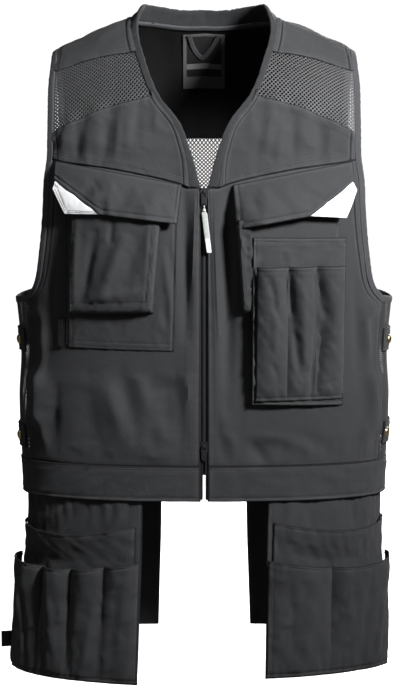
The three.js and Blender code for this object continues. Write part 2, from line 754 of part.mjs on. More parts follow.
// Mesh across the back and the back panel below it
{
  const outer = stretch(armEdge, backYokeRun, runAt(backMeshLow));
  const flipped = (t) => [-outer(t)[0], outer(t)[1]];
  const [top, bottom] = [acrossShoulders(backYokeSeam), acrossShoulders(backMeshSeam)];
  const fill = patch(top, bottom, outer, flipped);
  const body = bodyPanel(overShoulder, fill, 1, even(16), even(4), -meshCloth, 0);
  add("back_mesh", body, knit);
}
{
  const armSide = stretch(armEdge, runAt(backMeshLow), armEdge(1)[1]);
  const outer = joined(reread(armSide), sideEdge(true), 0.25);
  const flipped = (t) => [2 * Math.PI - outer(t)[0], outer(t)[1]];
  const top = acrossBack(reread(backMeshSeam));
  const bottom = acrossBack(line(outer(1), [Math.PI, bandTop]));
  const fill = patch(top, bottom, outer, flipped);
  add("back_panel", bodyPanel(around, fill, 1, even(14), even(8)), twill);
}

// Mesh at the sides, below the armholes
const underarm = [around.from([armLineRows.at(-1).out * halfChest, underarmZ], false)];
underarm.push([Math.PI / 2, underarmZ - underarmDip]);
underarm.push([Math.PI - underarm[0][0], underarmZ]);
const underarmEdge = lineThrough(underarm.map(([angle, z]) => [angle * halfChest, z]));
const underarmPlace = (t) => [underarmEdge(t)[0] / halfChest, underarmEdge(t)[1]];
for (const { side, hand } of hands) {
  const [front, rear] = [sideEdge(false), sideEdge(true)];
  const fill = patch(underarmPlace, line(front(1), rear(1)), front, rear);
  const body = bodyPanel(around, fill, hand, even(5), even(6), -meshCloth, 0);
  add(`side_mesh_${side}`, body, knit);
}

// The waistband, in two fronts and a back
const bandInner = -bandThick / 2 - cloth / 4;
const bandOuter = bandInner + bandThick;
for (const { side, hand } of hands) {
  const inner = line(
    around.from([frontEdge, bandTop]),
    around.from([frontEdge, -bodyLength]),
  );
  const outer = line([Math.PI / 2, bandTop], [Math.PI / 2, -bodyLength]);
  const fill = patch(line(inner(0), outer(0)), line(inner(1), outer(1)), inner, outer);
  const body = bodyPanel(around, fill, hand, even(10), even(2), bandInner, bandOuter);
  add(`waistband_${side}`, body, twill);
}
{
  const [from, to] = [Math.PI / 2, (3 * Math.PI) / 2];
  const [top, bottom] = [bandTop, -bodyLength].map((z) => line([from, z], [to, z]));
  const sides = [from, to].map((angle) => line([angle, bandTop], [angle, -bodyLength]));
  const fill = patch(top, bottom, ...sides);
  const body = bodyPanel(around, fill, 1, even(20), even(2), bandInner, bandOuter);
  add("waistband_back", body, twill);
}

// The neck band: a facing down the V that turns up into the standing collar
const bandInward = tableCurve(neckBandRows, "along", "inward");
const bandRise = tableCurve(neckBandRows, "along", "rise");
function neckSection(t, hand) {
  const place = neckEdge(t);
  const next = bodyFrame(overShoulder, neckEdge(Math.min(1, t + 0.01)), hand).point;
  const last = bodyFrame(overShoulder, neckEdge(Math.max(0, t - 0.01)), hand).point;
  const { point, normal } = bodyFrame(overShoulder, place, hand);
  const lean = new THREE.Vector3(-hand, 0, 0);
  if (place[1] > 0) lean.set((-hand * place[0]) / neckHalf, -place[1] / neckBack, 0).normalize();
  if (t === 1) lean.set(0, -1, 0);
  const reach = lean.multiplyScalar(collarLean * bandInward(t));
  reach.z = collarHeight * bandRise(t);
  const across = next.sub(last).cross(reach).normalize().multiplyScalar(collarThick / 2);
  if (across.dot(normal) < 0) across.negate();
  const foot = point.clone().addScaledVector(normal, -cloth / 2);
  foot.addScaledVector(reach.clone().normalize(), seamGap / 2 + 0.1 + bandRise(t) * 0.4);
  const tip = foot.clone().add(reach);
  return [
    foot.clone().add(across),
    tip.clone().add(across),
    tip.clone().sub(across),
    foot.clone().sub(across),
  ];
}
{
  const shares = even(18).map((t) => 0.004 + 0.996 * t);
  const right = shares.map((t) => neckSection(t, -1));
  const left = shares.slice(0, -1).map((t) => neckSection(t, 1)).reverse();
  add("neck_band", loft([...right, ...left]), darkTwill);
}

// A flat strip along places of the body: its width lies in the cloth, its thickness across it.
function strip(frames, width, thick, depth) {
  return frames.map(({ point, normal, aside }) => {
    const inner = point.clone().addScaledVector(normal, depth);
    const side = aside.clone().multiplyScalar(width);
    const up = normal.clone().multiplyScalar(thick);
    return [
      inner.clone(),
      inner.clone().add(side),
      inner.clone().add(side).add(up),
      inner.clone().add(up),
    ];
  });
}

// Rolled piping inside the foot of the collar, at the back of the neck
{
  const depth = -cloth - 2 * layGap - liningCloth - pipingThick - pipingSink;
  const frames = even(14).map((t) => {
    const turn = Math.PI * (pipingEnds + (1 - 2 * pipingEnds) * t);
    const place = neckArc(turn);
    const { point, normal } = bodyFrame(overShoulder, place);
    const ahead = overShoulder.point(neckArc(turn + 0.02)).sub(overShoulder.point(place));
    const aside = normal.clone().cross(ahead).normalize();
    if (aside.y < 0) aside.negate();
    return { point, normal, aside };
  });
  add("neck_piping", loft(strip(frames, pipingWide, pipingThick, depth)), bindingCloth);
}

// Binding round each armhole
for (const { side, hand } of hands) {
  const stops = [
    [armEdge(0)[1], 6],
    [chestSeam.armRun, 4],
    [meshSeam.armRun, 3],
    [yokeSeam.armRun, 4],
    [backSeamRun, 3],
    [backYokeRun, 4],
    [runAt(backMeshLow), 2],
    [armEdge(1)[1], 1],
  ];
  const shares = stops.slice(0, -1).flatMap(([run, count], i) => {
    const [from, to] = [shareAt(armEdge, run), shareAt(armEdge, stops[i + 1][0])];
    return even(count).slice(0, -1).map((t) => from + t * (to - from));
  });
  const places = [
    ...[...shares, 1].map((t) => ({ chart: overShoulder, place: armEdge(t) })),
    ...even(6).slice(1, -1).map((t) => ({ chart: around, place: underarmPlace(1 - t) })),
  ];
  const frames = places.map(({ chart, place }) => bodyFrame(chart, place, hand));
  const centre = new THREE.Vector3(hand * halfChest * 0.87, 0, -0.32 * bodyLength);
  const sections = frames.map(({ point, normal }, i) => {
    const before = frames.at(i - 1).point;
    const after = frames[(i + 1) % frames.length].point;
    const aside = after.clone().sub(before).cross(normal).normalize();
    if (aside.dot(centre.clone().sub(point)) < 0) aside.negate();
    const start = point.clone().addScaledVector(aside, seamGap / 2);
    return { point: start, normal, aside };
  });
  const depth = -cloth / 2 - bindThick / 2;
  const body = loft(strip(sections, bindWidth, bindThick, depth), true);
  add(`armhole_binding_${side}`, body, bindingCloth);
}

// Label and hanger loop inside the back of the neck
{
  const outer = -cloth - 2 * layGap - liningCloth - 0.3;
  const [topRun, half] = [neckBack + pipingWide + 2, labelWide / 2];
  const fill = (u, v) => [half * (1 - 2 * u), topRun + v * labelTall];
  const place = (u, v) => onBody(overShoulder, fill(u, v), 1);
  add("neck_label", sheet(place, even(4), even(4), outer - liningCloth, outer), labelCloth);
  const depth = outer - liningCloth - 0.4 - loopThick;
  const path = lineThrough([
    [-loopSpan / 2, topRun],
    [-loopSpan * 0.34, topRun + loopDrop * 0.62],
    [-loopSpan * 0.06, topRun + loopDrop],
    [loopSpan * 0.26, topRun + loopDrop * 0.6],
    [loopSpan / 2, topRun],
  ]);
  const frames = even(12).map((t) => {
    const { point, normal } = bodyFrame(overShoulder, path(t));
    const [next, last] = [t + 0.02, t - 0.02].map((at) => overShoulder.point(path(at)));
    const aside = next.sub(last).cross(normal).normalize();
    point.addScaledVector(aside, -loopWidth / 2);
    return { point, normal, aside };
  });
  add("hanger_loop", loft(strip(frames, loopWidth, loopThick, depth)), bindingCloth);
}

// Zip halves: tape behind the edge of each front, teeth along the middle
const zipTop = -neckLineRows[0].down * bodyLength;
const lowSliderZ = -lowSliderDown * bodyLength;
const slope = (z) => Math.atan2(depthAt(z - 5) - depthAt(z + 5), 10);
const zipFace = bandInner - layGap;
for (const { side, hand } of hands) {
  const between = (from, to, count) => even(count).map((t) => from + t * (to - from));
  const levels = [
    ...between(zipTop - sliderLength * 0.6, lowSliderZ + sliderLength / 2, 12),
    ...between(lowSliderZ, 2 - bodyLength, 3),
  ];
  const sections = levels.map((z) => {
    const parted = z > lowSliderZ ? 0 : 1;
    const start = zipMiddle + zipParting * parted;
    const corner = (x, lift) => onBody(around, around.from([x, z]), hand, lift);
    const back = zipFace - zipThick;
    return [
      corner(start + toothWidth, zipFace),
      corner(start + toothWidth, -toothDrop),
      corner(start, -toothDrop),
      corner(start, back),
      corner(tapeWidth, back),
      corner(tapeWidth, zipFace),
    ];
  });
  add(`zip_half_${side}`, loft(sections), zipTape);
}

// Sliders: two plates joined by a post between the teeth, with an arch that holds the pull
const standing = (z) => {
  const frame = new THREE.Matrix4().makeRotationX(slope(z));
  return frame.setPosition(0, depthAt(z), z);
};
const frontPlate = toothDrop - sliderClear;
const backPlate = -zipFace + zipThick + sliderClear;
function slider(postAt) {
  const plates = [
    block(sliderWidth, sliderPlate, sliderLength, 0, frontPlate - sliderPlate / 2),
    block(sliderWidth, sliderPlate, sliderLength, 0, backPlate + sliderPlate / 2),
  ];
  const tall = backPlate - frontPlate + sliderPlate;
  const post = block(postWide, tall, postLong, 0, (backPlate + frontPlate) / 2, postAt);
  const ring = new THREE.Shape().absarc(0, 0, crownRadius, 0, Math.PI);
  ring.absarc(0, 0, crownHole, Math.PI, 0, true);
  const options = { depth: crownWidth, bevelEnabled: false, curveSegments: 10 };
  const arch = new THREE.ExtrudeGeometry(ring, options);
  arch.translate(0, -0.2, -crownWidth / 2).rotateY(Math.PI / 2).rotateX(Math.PI / 2);
  arch.translate(0, frontPlate - sliderPlate, 0);
  return unite(...plates, post, arch);
}
// A pull: a bar through the arch, a window round it and a slot for the cord at the far end
const barDepth = frontPlate - sliderPlate - pullClear / 2 - pullBar / 2;
function pullTab(windowLow) {
  const outline = new THREE.Shape();
  const half = pullTabWidth / 2;
  const top = pullBar / 2;
  outline.moveTo(-half, top).lineTo(half, top).lineTo(half, 3 - pullTabLength);
  outline.lineTo(half - 2, -pullTabLength).lineTo(2 - half, -pullTabLength);
  outline.lineTo(-half, 3 - pullTabLength).closePath();
  const hole = (x, high, low) =>
    new THREE.Path().moveTo(-x, high).lineTo(-x, low).lineTo(x, low).lineTo(x, high).closePath();
  outline.holes.push(hole(crownWidth / 2 + pullClear, -pullBar / 2, -pullWindow));
  if (windowLow) outline.holes.push(hole(half - 1.4, -windowLow, 1.4 - pullTabLength));
  const plate = new THREE.ExtrudeGeometry(outline, { depth: pullBar, bevelEnabled: false });
  return plate.translate(0, 0, -pullBar / 2).rotateX(Math.PI / 2);
}
const sliders = [
  { name: "top", z: zipTop - sliderLength / 2, post: sliderLength / 2 - postLong / 2, cord: true },
  { name: "bottom", z: lowSliderZ, post: postLong / 2 - sliderLength / 2, cord: false },
];
for (const { name, z, post, cord } of sliders) {
  const frame = standing(z);
  add(`slider_${name}`, slider(post).applyMatrix4(frame), blackMetal);
  const hang = new THREE.Matrix4().makeTranslation(0, barDepth, 0);
  const tab = pullTab(cord ? pullTabLength - 4.6 : 0);
  add(`pull_tab_${name}`, tab.applyMatrix4(hang).applyMatrix4(frame), blackMetal);
  if (!cord) continue;
  // The cord's loop holds the end of the tab, and the grip hangs from its knot
  const endBar = 0.7 - pullTabLength;
  const loop = new THREE.Shape().absarc(0, 0, 1.9, 0, 2 * Math.PI);
  loop.holes.push(new THREE.Path().absarc(0, 0, 1.1, 0, 2 * Math.PI));
  const options = { depth: 2, bevelEnabled: false, curveSegments: 8 };
  const eye = new THREE.ExtrudeGeometry(loop, options).translate(0, 0, -1).rotateY(Math.PI / 2);
  eye.translate(0, 0, endBar);
  const knot = new THREE.SphereGeometry(knotRadius, 8, 5).scale(1, 0.7, 1.1);
  knot.translate(0, 0, endBar - 1.6 - knotRadius);
  const grip = block(gripWidth, gripThick, gripLength, 0, 0, -gripLength / 2);
  grip.applyMatrix4(new THREE.Matrix4().makeRotationY(-gripTilt));
  grip.translate(0, 0, endBar - 1.4 - 2 * knotRadius);
  const strap = unite(eye, knot, grip).applyMatrix4(hang).applyMatrix4(frame);
  add("pull_strip", strap, gripRubber);
}

// Pieces that lie on the front: a surface between corners, lifted off the body
function cornerFill(rows) {
  const [inTop, outTop, outLow, inLow] = frontView(rows);
  return (u, v) => mix(mix(inTop, outTop, u), mix(inLow, outLow, u), v);
}
function laid(fill, lift, hand, us, vs, thick = cloth) {
  const surface = (u, v) => {
    const place = fill(u, v);
    return onBody(around, around.from(place), hand, lift(u, v, ...place));
  };
  return sheet(surface, us, vs, 0, thick);
}
const hump = (t, power = 0.6) => Math.sin(Math.PI * THREE.MathUtils.clamp(t, 0, 1)) ** power;

// Flat pocket on the wearer's right, with the pocket with the gusset on top of it
const patchFill = cornerFill(patchRows);
const patchLift = (x, z) => {
  const [inTop, outTop, , inLow] = frontView(patchRows);
  const across = (x - inTop[0]) / (outTop[0] - inTop[0]);
  const down = (z - inTop[1]) / (inLow[1] - inTop[1]);
  const fade = THREE.MathUtils.clamp(1.2 - 1.2 * down, 0, 1) ** 0.5;
  return layGap + patchDeep * hump(across) * fade;
};
{
  const lift = (u, v, x, z) => patchLift(x, z);
  const body = laid(patchFill, lift, -1, even(7), even(6));
  add("flat_pocket_right", body, twill);
}
const bellowsShape = tableCurve(bellowsRows, "across", "deep");
{
  const fill = cornerFill(bellowsRightRows);
  const lift = (u, v, x, z) => {
    const bottom = THREE.MathUtils.clamp((1 - v) / 0.1, 0, 1);
    const deep = bellowsRightDeep * bellowsShape(u) * bottom;
    return patchLift(x, z) + cloth + layGap + deep;
  };
  const us = bellowsRows.map((row) => row.across);
  add("gusset_pocket_right", laid(fill, lift, -1, us, [0, 0.3, 0.6, 0.9, 1]), twill);
}

// Deep pocket on the wearer's left, shallower towards its outer side and its bottom
const deepFill = cornerFill(bellowsLeftRows);
const deepTop = -bellowsLeftRows[0].down * bodyLength;
const deepLow = -bellowsLeftRows[3].down * bodyLength;
const deepIn = bellowsLeftRows[0].out * halfChest;
const deepLift = (x, z) => {
  const down = THREE.MathUtils.clamp((z - deepTop) / (deepLow - deepTop), 0, 1);
  const across = (x - deepIn) / (bellowsLeftRows[1].out * halfChest - deepIn);
  return bellowsLeftDeep * THREE.MathUtils.lerp(1, 0.2, across) * (1 - 0.95 * down);
};
{
  const us = [0, 0.14, 0.4, 0.7, 0.95, 1];
  const lift = (u, v, x, z) => layGap + (u > 0 && u < 1 ? deepLift(x, z) : 0) * (v < 1 ? 1 : 0);
  const wall = (u, v) => {
    const near = us.findLast((share) => share <= u + 1e-9);
    const next = us.find((share) => share > u + 1e-9) ?? 1;
    const t = next > near ? (u - near) / (next - near) : 0;
    const at = (share) => lift(share, Math.min(v, 0.97), ...deepFill(share, v));
    const full = at(near) + t * (at(next) - at(near));
    return layGap + (full - layGap) * THREE.MathUtils.clamp((1 - v) / 0.04, 0, 1);
  };
  const vs = [0, 0.2, 0.4, 0.6, 0.8, 0.96, 1];
  add("gusset_pocket_left", laid(deepFill, (u, v) => wall(u, v), 1, us, vs), twill);
}

// Panel over its front, and the sleeves for tools sewn onto that
const toolFill = cornerFill(toolRows);
const toolOut = toolRows[1].out * halfChest;
const toolLift = (x, z) => {
  const seated = THREE.MathUtils.clamp((toolOut - x) / toolHem, 0, 1);
  return layGap + (deepLift(x, z) + cloth + layGap) * seated;
};
{
  const lift = (u, v, x, z) => toolLift(x, z);
  const us = [0, 0.2, 0.4, 0.6, 0.8, 1 - toolHem / (toolOut - toolRows[0].out * halfChest), 1];
  add("tool_panel_left", laid(toolFill, lift, 1, us, even(7)), twill);
}
{
  const columns = [];
  for (const { from, to } of sleeveRows)
    for (const t of even(4)) columns.push({ x: (from + t * (to - from)) * halfChest, bulge: hump(t) });
  const [first, last] = [columns[0].x, columns.at(-1).x];
  const us = columns.map((column) => (column.x - first) / (last - first));
  const [top, low] = [sleeveTop, sleeveLow].map((down) => -down * bodyLength);
  const fill = (u, v) => [first + u * (last - first), top + v * (low - top)];
  const bulgeAt = (u) => {
    const i = Math.min(us.length - 2, Math.max(0, us.findIndex((share) => share > u) - 1));
    const held = us.at(-1) <= u ? us.length - 2 : i;
    const t = (u - us[held]) / (us[held + 1] - us[held]);
    return columns[held].bulge + t * (columns[held + 1].bulge - columns[held].bulge);
  };
  const lift = (u, v, x, z) =>
    toolLift(x, z) + cloth + layGap + sleeveDeep * bulgeAt(u) * (1 - 0.6 * v);
  add("tool_sleeves_left", laid(fill, lift, 1, us, even(4)), twill);
}

// Flaps over the pockets, each with a bright tab across its cut corner
const flapShape = tableCurve(flapRows, "across", "stand");
for (const { side, hand } of hands) {
  const rows = flapCorners[side];
  const [inTop, outTop, cutOut, cutLow, inLow] = frontView(rows);
  const [tabOut, tabLow] = frontView(tabCorners[side]);
  const lift = (x, z) => {
    const across = THREE.MathUtils.clamp((x - inTop[0]) / (outTop[0] - inTop[0]), 0, 1);
    const top = THREE.MathUtils.lerp(inTop[1], outTop[1], across);
    const down = THREE.MathUtils.clamp((top - z) / flapDrop, 0, 1);
    return layGap + flapStand[side] * flapShape(across) * Math.sin((Math.PI / 2) * down);
  };
  const kink = 5 / 9;
  const low = joined(line(inLow, cutLow), line(cutLow, cutOut), kink);
  const fill = patch(line(inTop, outTop), low, line(inTop, inLow), line(outTop, cutOut));
  const shape = (u, v, x, z) => lift(x, z);
  add(`flap_${side}`, laid(fill, shape, hand, even(9), even(5)), twill);
  const apart = (a, b) => {
    const away = new THREE.Vector2(...b).sub(new THREE.Vector2(...a));
    return away.setLength(seamGap + 0.1).toArray();
  };
  const shift = apart(mix(inTop, inLow, 0.5), mix(tabOut, tabLow, 0.5));
  const moved = (place) => [place[0] + shift[0], place[1] + shift[1]];
  const tab = (u, v) =>
    mix(mix(moved(cutLow), moved(cutOut), u), mix(tabLow, tabOut, u), v);
  add(`bright_tab_${side}`, laid(tab, shape, hand, even(5), even(3)), reflective);
}

// Small plain tag at the outer edge of the flat pocket
{
  const fill = cornerFill(tagRows);
  add("pocket_tag", laid(fill, () => layGap, -1, even(1), even(2), liningCloth), labelCloth);
}

// Straps over the side mesh, each held by a press stud
const dome = new THREE.LatheGeometry(
  [[0, 0], [1, 0], [1, 0.25], [0.8, 0.65], [0.45, 0.92], [0, 1]].map(
    ([out, up]) => new THREE.Vector2(out * snapRadius, up * snapHeight),
  ),
  12,
);
for (const { side, level, down, studAt } of strapRows) {
  const hand = side === "left" ? 1 : -1;
  const [start, end] = [strapStart, strapEnd].map((share) => (share * Math.PI) / 2);
  const middle = -down * bodyLength;
  const place = (u, v) => [start + u * (end - start), middle + strapWidth * (0.5 - v)];
  const surface = (u, v) => onBody(around, place(u, v), hand, layGap + strapEase);
  add(`side_strap_${level}_${side}`, sheet(surface, even(7), even(2), 0, cloth), twill);
  const { point, normal } = bodyFrame(around, [(studAt * Math.PI) / 2, middle], hand);
  point.addScaledVector(normal, 2 * layGap + strapEase + cloth);
  const turn = new THREE.Quaternion().setFromUnitVectors(new THREE.Vector3(0, 1, 0), normal);
  const frame = new THREE.Matrix4().compose(point, turn, new THREE.Vector3(1, 1, 1));
  add(`press_stud_${level}_${side}`, dome.clone().applyMatrix4(frame), brass);
}

// Hanging holsters: a panel sewn behind the band, with a low pocket over a high one
const hangFace = bandInner - layGap - 0.8;
const hangTop = hangPast - bodyLength;
const hangPlace = (shape, share, z) => {
  const down = (z - hangTop) / (-shape.low * bodyLength - hangTop);
  const inner = THREE.MathUtils.lerp(shape.innerTop, shape.innerLow, down);
  const outer = THREE.MathUtils.lerp(shape.outerTop, shape.outerLow, down ** 2);
  return [((inner + share * (outer - inner)) * Math.PI) / 2, z];
};
function hung(shape, hand, top, low, inset, lift, us, vs, range = [0, cloth]) {
  const surface = (u, v) => {
    const z = THREE.MathUtils.lerp(top(u), low(u), v);
    const place = hangPlace(shape, inset + u * (1 - 2 * inset), z);
    return onBody(around, place, hand, hangFace + lift(u, v));
  };
  return sheet(surface, us, vs, ...range);
}
for (const shape of holsterRows) {
  const hand = shape.side === "left" ? 1 : -1;
  const bottom = (u) => -bodyLength * (shape.low - shape.lowTilt * u);
  const mouth = (level, drop) => (u) => -bodyLength * level - drop * hump(u, 1);
  const high = mouth(shape.highMouth, mouthSag);
  const low = mouth(shape.lowMouth, mouthSag);
  const name = `${shape.name}_${shape.side}`;
  const panel = hung(
    shape, hand, () => hangTop, bottom, 0, () => 0, even(7), even(6), [-cloth, 0],
  );
  add(`${name}_panel`, panel, twill);
  if (shape.highMouth) {
    const taper = (v) => Math.max(0.08, (1 - v / 0.7) * (v < 0.7 ? 1 : 0));
    const body = hung(
      shape, hand, high, (u) => low(u) - mouthOverlap, 0.03,
      (u, v) => layGap + holsterDeep * hump(u) * taper(v),
      even(8), [0, 0.3, 0.6, 1],
    );
    add(`${name}_high_pocket`, body, twill);
  }
  const marks = [0, ...shape.seams, 1];
  const count = shape.highMouth && shape.seams.length < 2 ? 5 : 4;
  const us = marks.slice(1).flatMap((mark, i) =>
    even(count).slice(i ? 1 : 0).map((t) => marks[i] + t * (mark - marks[i])),
  );
  const channel = (u) => {
    const i = Math.min(marks.length - 2, Math.max(0, marks.findIndex((mark) => mark > u) - 1));
    const held = u >= 1 ? marks.length - 2 : i;
    const wide = marks[held + 1] - marks[held];
    return hump((u - marks[held]) / wide) * Math.min(1, (wide * shape.bulge) / 0.3);
  };
  const over = shape.highMouth ? cloth + 2.4 * layGap : 0;
  const lift = (u, v) => {
    const rest = layGap + over * THREE.MathUtils.clamp((0.3 - v) / 0.18, 0, 1);
    return rest + nailDeep * channel(u) * (1 - v) ** 0.35 * (v < 1 ? 1 : 0);
  };
  const body = hung(
    shape, hand, low, (u) => bottom(u) + 1, 0.004, lift, us, [0, 0.12, 0.3, 0.55, 0.8, 1],
  );
  add(`${name}_low_pocket`, body, twill);
}
{
  const shape = holsterRows[0];
  const [angle, z] = hangPlace(shape, 0.985, -tagDown * bodyLength);
  const { point, normal } = bodyFrame(around, [angle, z], -1);
  const tag = block(tagReach, liningCloth, tagTall, tagReach / 2);
  const turn = new THREE.Matrix4().makeRotationZ(Math.atan2(normal.y, normal.x));
  point.addScaledVector(normal, tagLift);
  add("holster_tag", tag.applyMatrix4(turn).translate(...point.toArray()), labelCloth);
}

export default vest;
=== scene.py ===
from types import SimpleNamespace

import bpy
import numpy as np
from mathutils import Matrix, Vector


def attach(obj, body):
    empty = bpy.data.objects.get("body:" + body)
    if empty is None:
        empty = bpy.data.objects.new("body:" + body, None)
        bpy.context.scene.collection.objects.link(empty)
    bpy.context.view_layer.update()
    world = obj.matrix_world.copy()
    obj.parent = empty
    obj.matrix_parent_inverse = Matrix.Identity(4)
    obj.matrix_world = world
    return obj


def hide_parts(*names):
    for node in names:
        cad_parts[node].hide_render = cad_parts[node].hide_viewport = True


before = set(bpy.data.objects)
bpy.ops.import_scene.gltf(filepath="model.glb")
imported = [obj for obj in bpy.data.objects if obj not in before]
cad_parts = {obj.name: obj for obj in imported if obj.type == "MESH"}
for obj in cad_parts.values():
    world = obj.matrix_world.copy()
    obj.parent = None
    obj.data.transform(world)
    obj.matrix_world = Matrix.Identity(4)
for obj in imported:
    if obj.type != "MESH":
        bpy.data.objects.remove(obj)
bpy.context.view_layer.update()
# the wearer's right and left, and the sign of x there
SIDES = (("right", -1), ("left", 1))

# FRONT PANELS
# Charcoal poly-cotton twill, one panel either side of the zip, cut to fall from the chest seam to the
# waistband. The top edge is sewn under the chest panel and the zip edge is folded back and stitched.
# All sizes in millimetres: x out to the wearer's left, z up from the neck point.
BODY_LENGTH = 622
HALF_CHEST = 252
FRONT_DEPTH = 124
BACK_DEPTH = 120
OVAL_POWER = 2.4
SHOULDER_START = 170
SHOULDER_RUN = 215
BAND_HEIGHT = 46
FRONT_EDGE = 4.2
NECK_HALF = 93
NECK_BACK = 72
BACK_SEAM_RUN = 60
CLOTH = 1.3
CORE = np.array([0, 0, -0.48 * BODY_LENGTH])
# the area that cloth_piece works out for a sheet is held at least this share of its width times its length
LEAST_SHARE = 0.31

# share of the length down, then shares of half chest, front depth and back depth
BODY_ROWS = [
    (-0.1, 1.0, 0.77, 0.8),
    (0.0, 1.0, 0.79, 0.85),
    (0.24, 1.0, 0.903, 0.983),
    (0.4, 1.0, 0.984, 1.0),
    (0.56, 0.985, 1.0, 0.933),
    (0.7, 0.957, 0.96, 0.87),
    (0.8, 0.968, 0.94, 0.865),
    (0.9, 0.96, 0.918, 0.868),
    (1.0, 0.948, 0.903, 0.883),
    (1.13, 0.964, 0.903, 0.9),
    (1.22, 0.992, 0.92, 0.915),
    (1.42, 1.05, 0.965, 0.94),
]
# share out, share down
SHOULDER_TOP = [
    (0.0, -0.019), (0.24, -0.0096), (0.37, 0.005), (0.476, 0.0177), (0.635, 0.045),
    (0.734, 0.064), (0.794, 0.084), (0.853, 0.121), (1.0, 0.241),
]
NECK_LINE = [
    (0.071, 0.353), (0.087, 0.297), (0.107, 0.267), (0.147, 0.2235), (0.262, 0.161),
    (0.341, 0.077), (0.361, 0.048), (NECK_HALF / HALF_CHEST, 0.022),
    (NECK_HALF / HALF_CHEST, 0.0062),
]
ARM_LINE = [
    (0.754, 0.07), (0.757, 0.1), (0.764, 0.145), (0.764, 0.217), (0.768, 0.296),
    (0.784, 0.339), (0.794, 0.413), (0.813, 0.487), (0.837, 0.547), (0.865, 0.574),
    (0.905, 0.593),
]
ARM_LINE_BACK = [
    (0.75, 0.0905), (0.742, 0.16), (0.742, 0.26), (0.75, 0.36), (0.78, 0.466),
    (0.82, 0.547), (0.86, 0.578), (0.905, 0.593),
]
YOKE_SEAM = [(0.32, 0.0735), (0.341, 0.077), (0.552, 0.0916), (0.7585, 0.1175), (0.79, 0.122)]
MESH_SEAM = [(0.23, 0.1515), (0.262, 0.161), (0.516, 0.1945), (0.765, 0.243), (0.8, 0.25)]
CHEST_SEAM = [
    (FRONT_EDGE / HALF_CHEST, 0.353), (0.143, 0.342), (0.43, 0.317), (0.768, 0.296),
    (0.8, 0.294),
]
SIDE_SEAM = [
    (0.905, 0.593), (0.898, 0.66), (0.896, 0.72), (0.905, 0.8), (0.903, 0.88), (0.9, 1.0),
]
# broad folds of the body: from (x, z) to (x, z), width, height
FRONT_DRAPE = [
    (-171, -137, -179, -187, 11.3, 4.5),
    (-136, -124, -141, -180, 11.3, 4.0),
    (-96, -118, -101, -174, 12.6, 3.0),
    (86, -118, 71, -187, 13.9, 5.0),
    (126, -124, 131, -174, 12.6, 3.5),
    (166, -137, 169, -174, 11.3, 4.0),
    (-25, -311, -50, -510, 15.1, -5.0),
    (-207, -386, -217, -516, 12.6, 7.6),
    (212, -373, 219, -529, 12.6, 6.6),
    (-156, -448, -88, -547, 22.7, 3.5),
    (101, -535, 71, -560, 17.6, -3.0),
]
BACK_DRAPE = [
    (-76, -342, -55, -560, 20.2, 5.0),
    (71, -342, 86, -560, 20.2, 5.0),
    (-156, -342, -151, -529, 17.6, -4.0),
    (161, -361, 151, -529, 17.6, -4.0),
]
# where the front lies flat: x from, to, z top, low
FLAT_ZONES = [
    (-197, -25, -180, -454),
    (33, 197, -180, -529),
    (-25, 25, -211, -622),
    (-252, 252, -578, -684),
    (217, 252, -398, -448),
    (-252, -217, -398, -448),
]


def smooth_table(keys, values):
    """A cubic between each two rows, whose slopes are those between the rows before and after."""
    keys, values = np.array(keys, float), np.array(values, float)
    ahead = np.r_[1 : len(keys), len(keys) - 1]
    behind = np.r_[0, 0 : len(keys) - 1]
    slopes = (values[ahead] - values[behind]) / (keys[ahead] - keys[behind])

    def curve(at):
        at = np.asarray(at, float)
        i = np.searchsorted(keys[1:-1], at, side="left")
        span = keys[i + 1] - keys[i]
        t = np.clip((at - keys[i]) / span, 0, 1)
        rise = values[i + 1] - values[i]
        bend_in, bend_out = slopes[i] * span - rise, rise - slopes[i + 1] * span
        return values[i] + t * rise + t * (1 - t) * ((1 - t) * bend_in + t * bend_out)

    return curve


down, width_share, front_share, back_share = np.array(BODY_ROWS).T
width_curve = smooth_table(down, width_share)
front_curve = smooth_table(down, front_share)
back_curve = smooth_table(down, back_share)
top_curve = smooth_table(*np.array(SHOULDER_TOP).T)


def half_width(z):
    return HALF_CHEST * width_curve(-z / BODY_LENGTH)


def body_depth(z, rear):
    share = -z / BODY_LENGTH
    return np.where(rear, BACK_DEPTH * back_curve(share), -FRONT_DEPTH * front_curve(share))


def round_body(places):
    """From an angle round the body and a height: x is the half width times the sine and y the depth
    times the cosine, each raised to two over the oval's power."""
    angle, z = places[..., 0], places[..., 1]
    power = 2 / OVAL_POWER
    sine = np.sin(angle)
    x = half_width(z) * np.sign(sine) * np.abs(sine) ** power
    y = body_depth(z, angle > np.pi / 2) * np.abs(np.cos(angle)) ** power
    return np.stack([x, y, z], -1)


def to_angle(x, z, rear=False):
    angle = np.arcsin(np.minimum(1, np.abs(x) / half_width(z)) ** (OVAL_POWER / 2))
    return np.where(rear, np.pi - angle, angle)


def front_view(places):
    x, z = places[..., 0], places[..., 1]
    return round_body(np.stack([to_angle(x, z), z], -1))


def shoulder_z(x):
    return -BODY_LENGTH * top_curve(np.abs(x) / HALF_CHEST)


def over_shoulder(places):
    """From the distance out and the length of cloth from the shoulder's top, negative in front: the
    cloth follows a quarter of an oval arch from the chest up, and hangs straight below it."""
    x, run = places[..., 0], places[..., 1]
    turn = np.pi / 2 * np.maximum(0, 1 - np.abs(run) / SHOULDER_RUN)
    z = -SHOULDER_START + np.sin(turn) * (shoulder_z(x) + SHOULDER_START)
    z = z - np.maximum(0, np.abs(run) - SHOULDER_RUN)
    share = np.minimum(1, np.abs(x) / half_width(z))
    oval = np.maximum(0, 1 - share**OVAL_POWER) ** (1 / OVAL_POWER)
    return np.stack([x, body_depth(z, run > 0) * oval * np.cos(turn), z], -1)


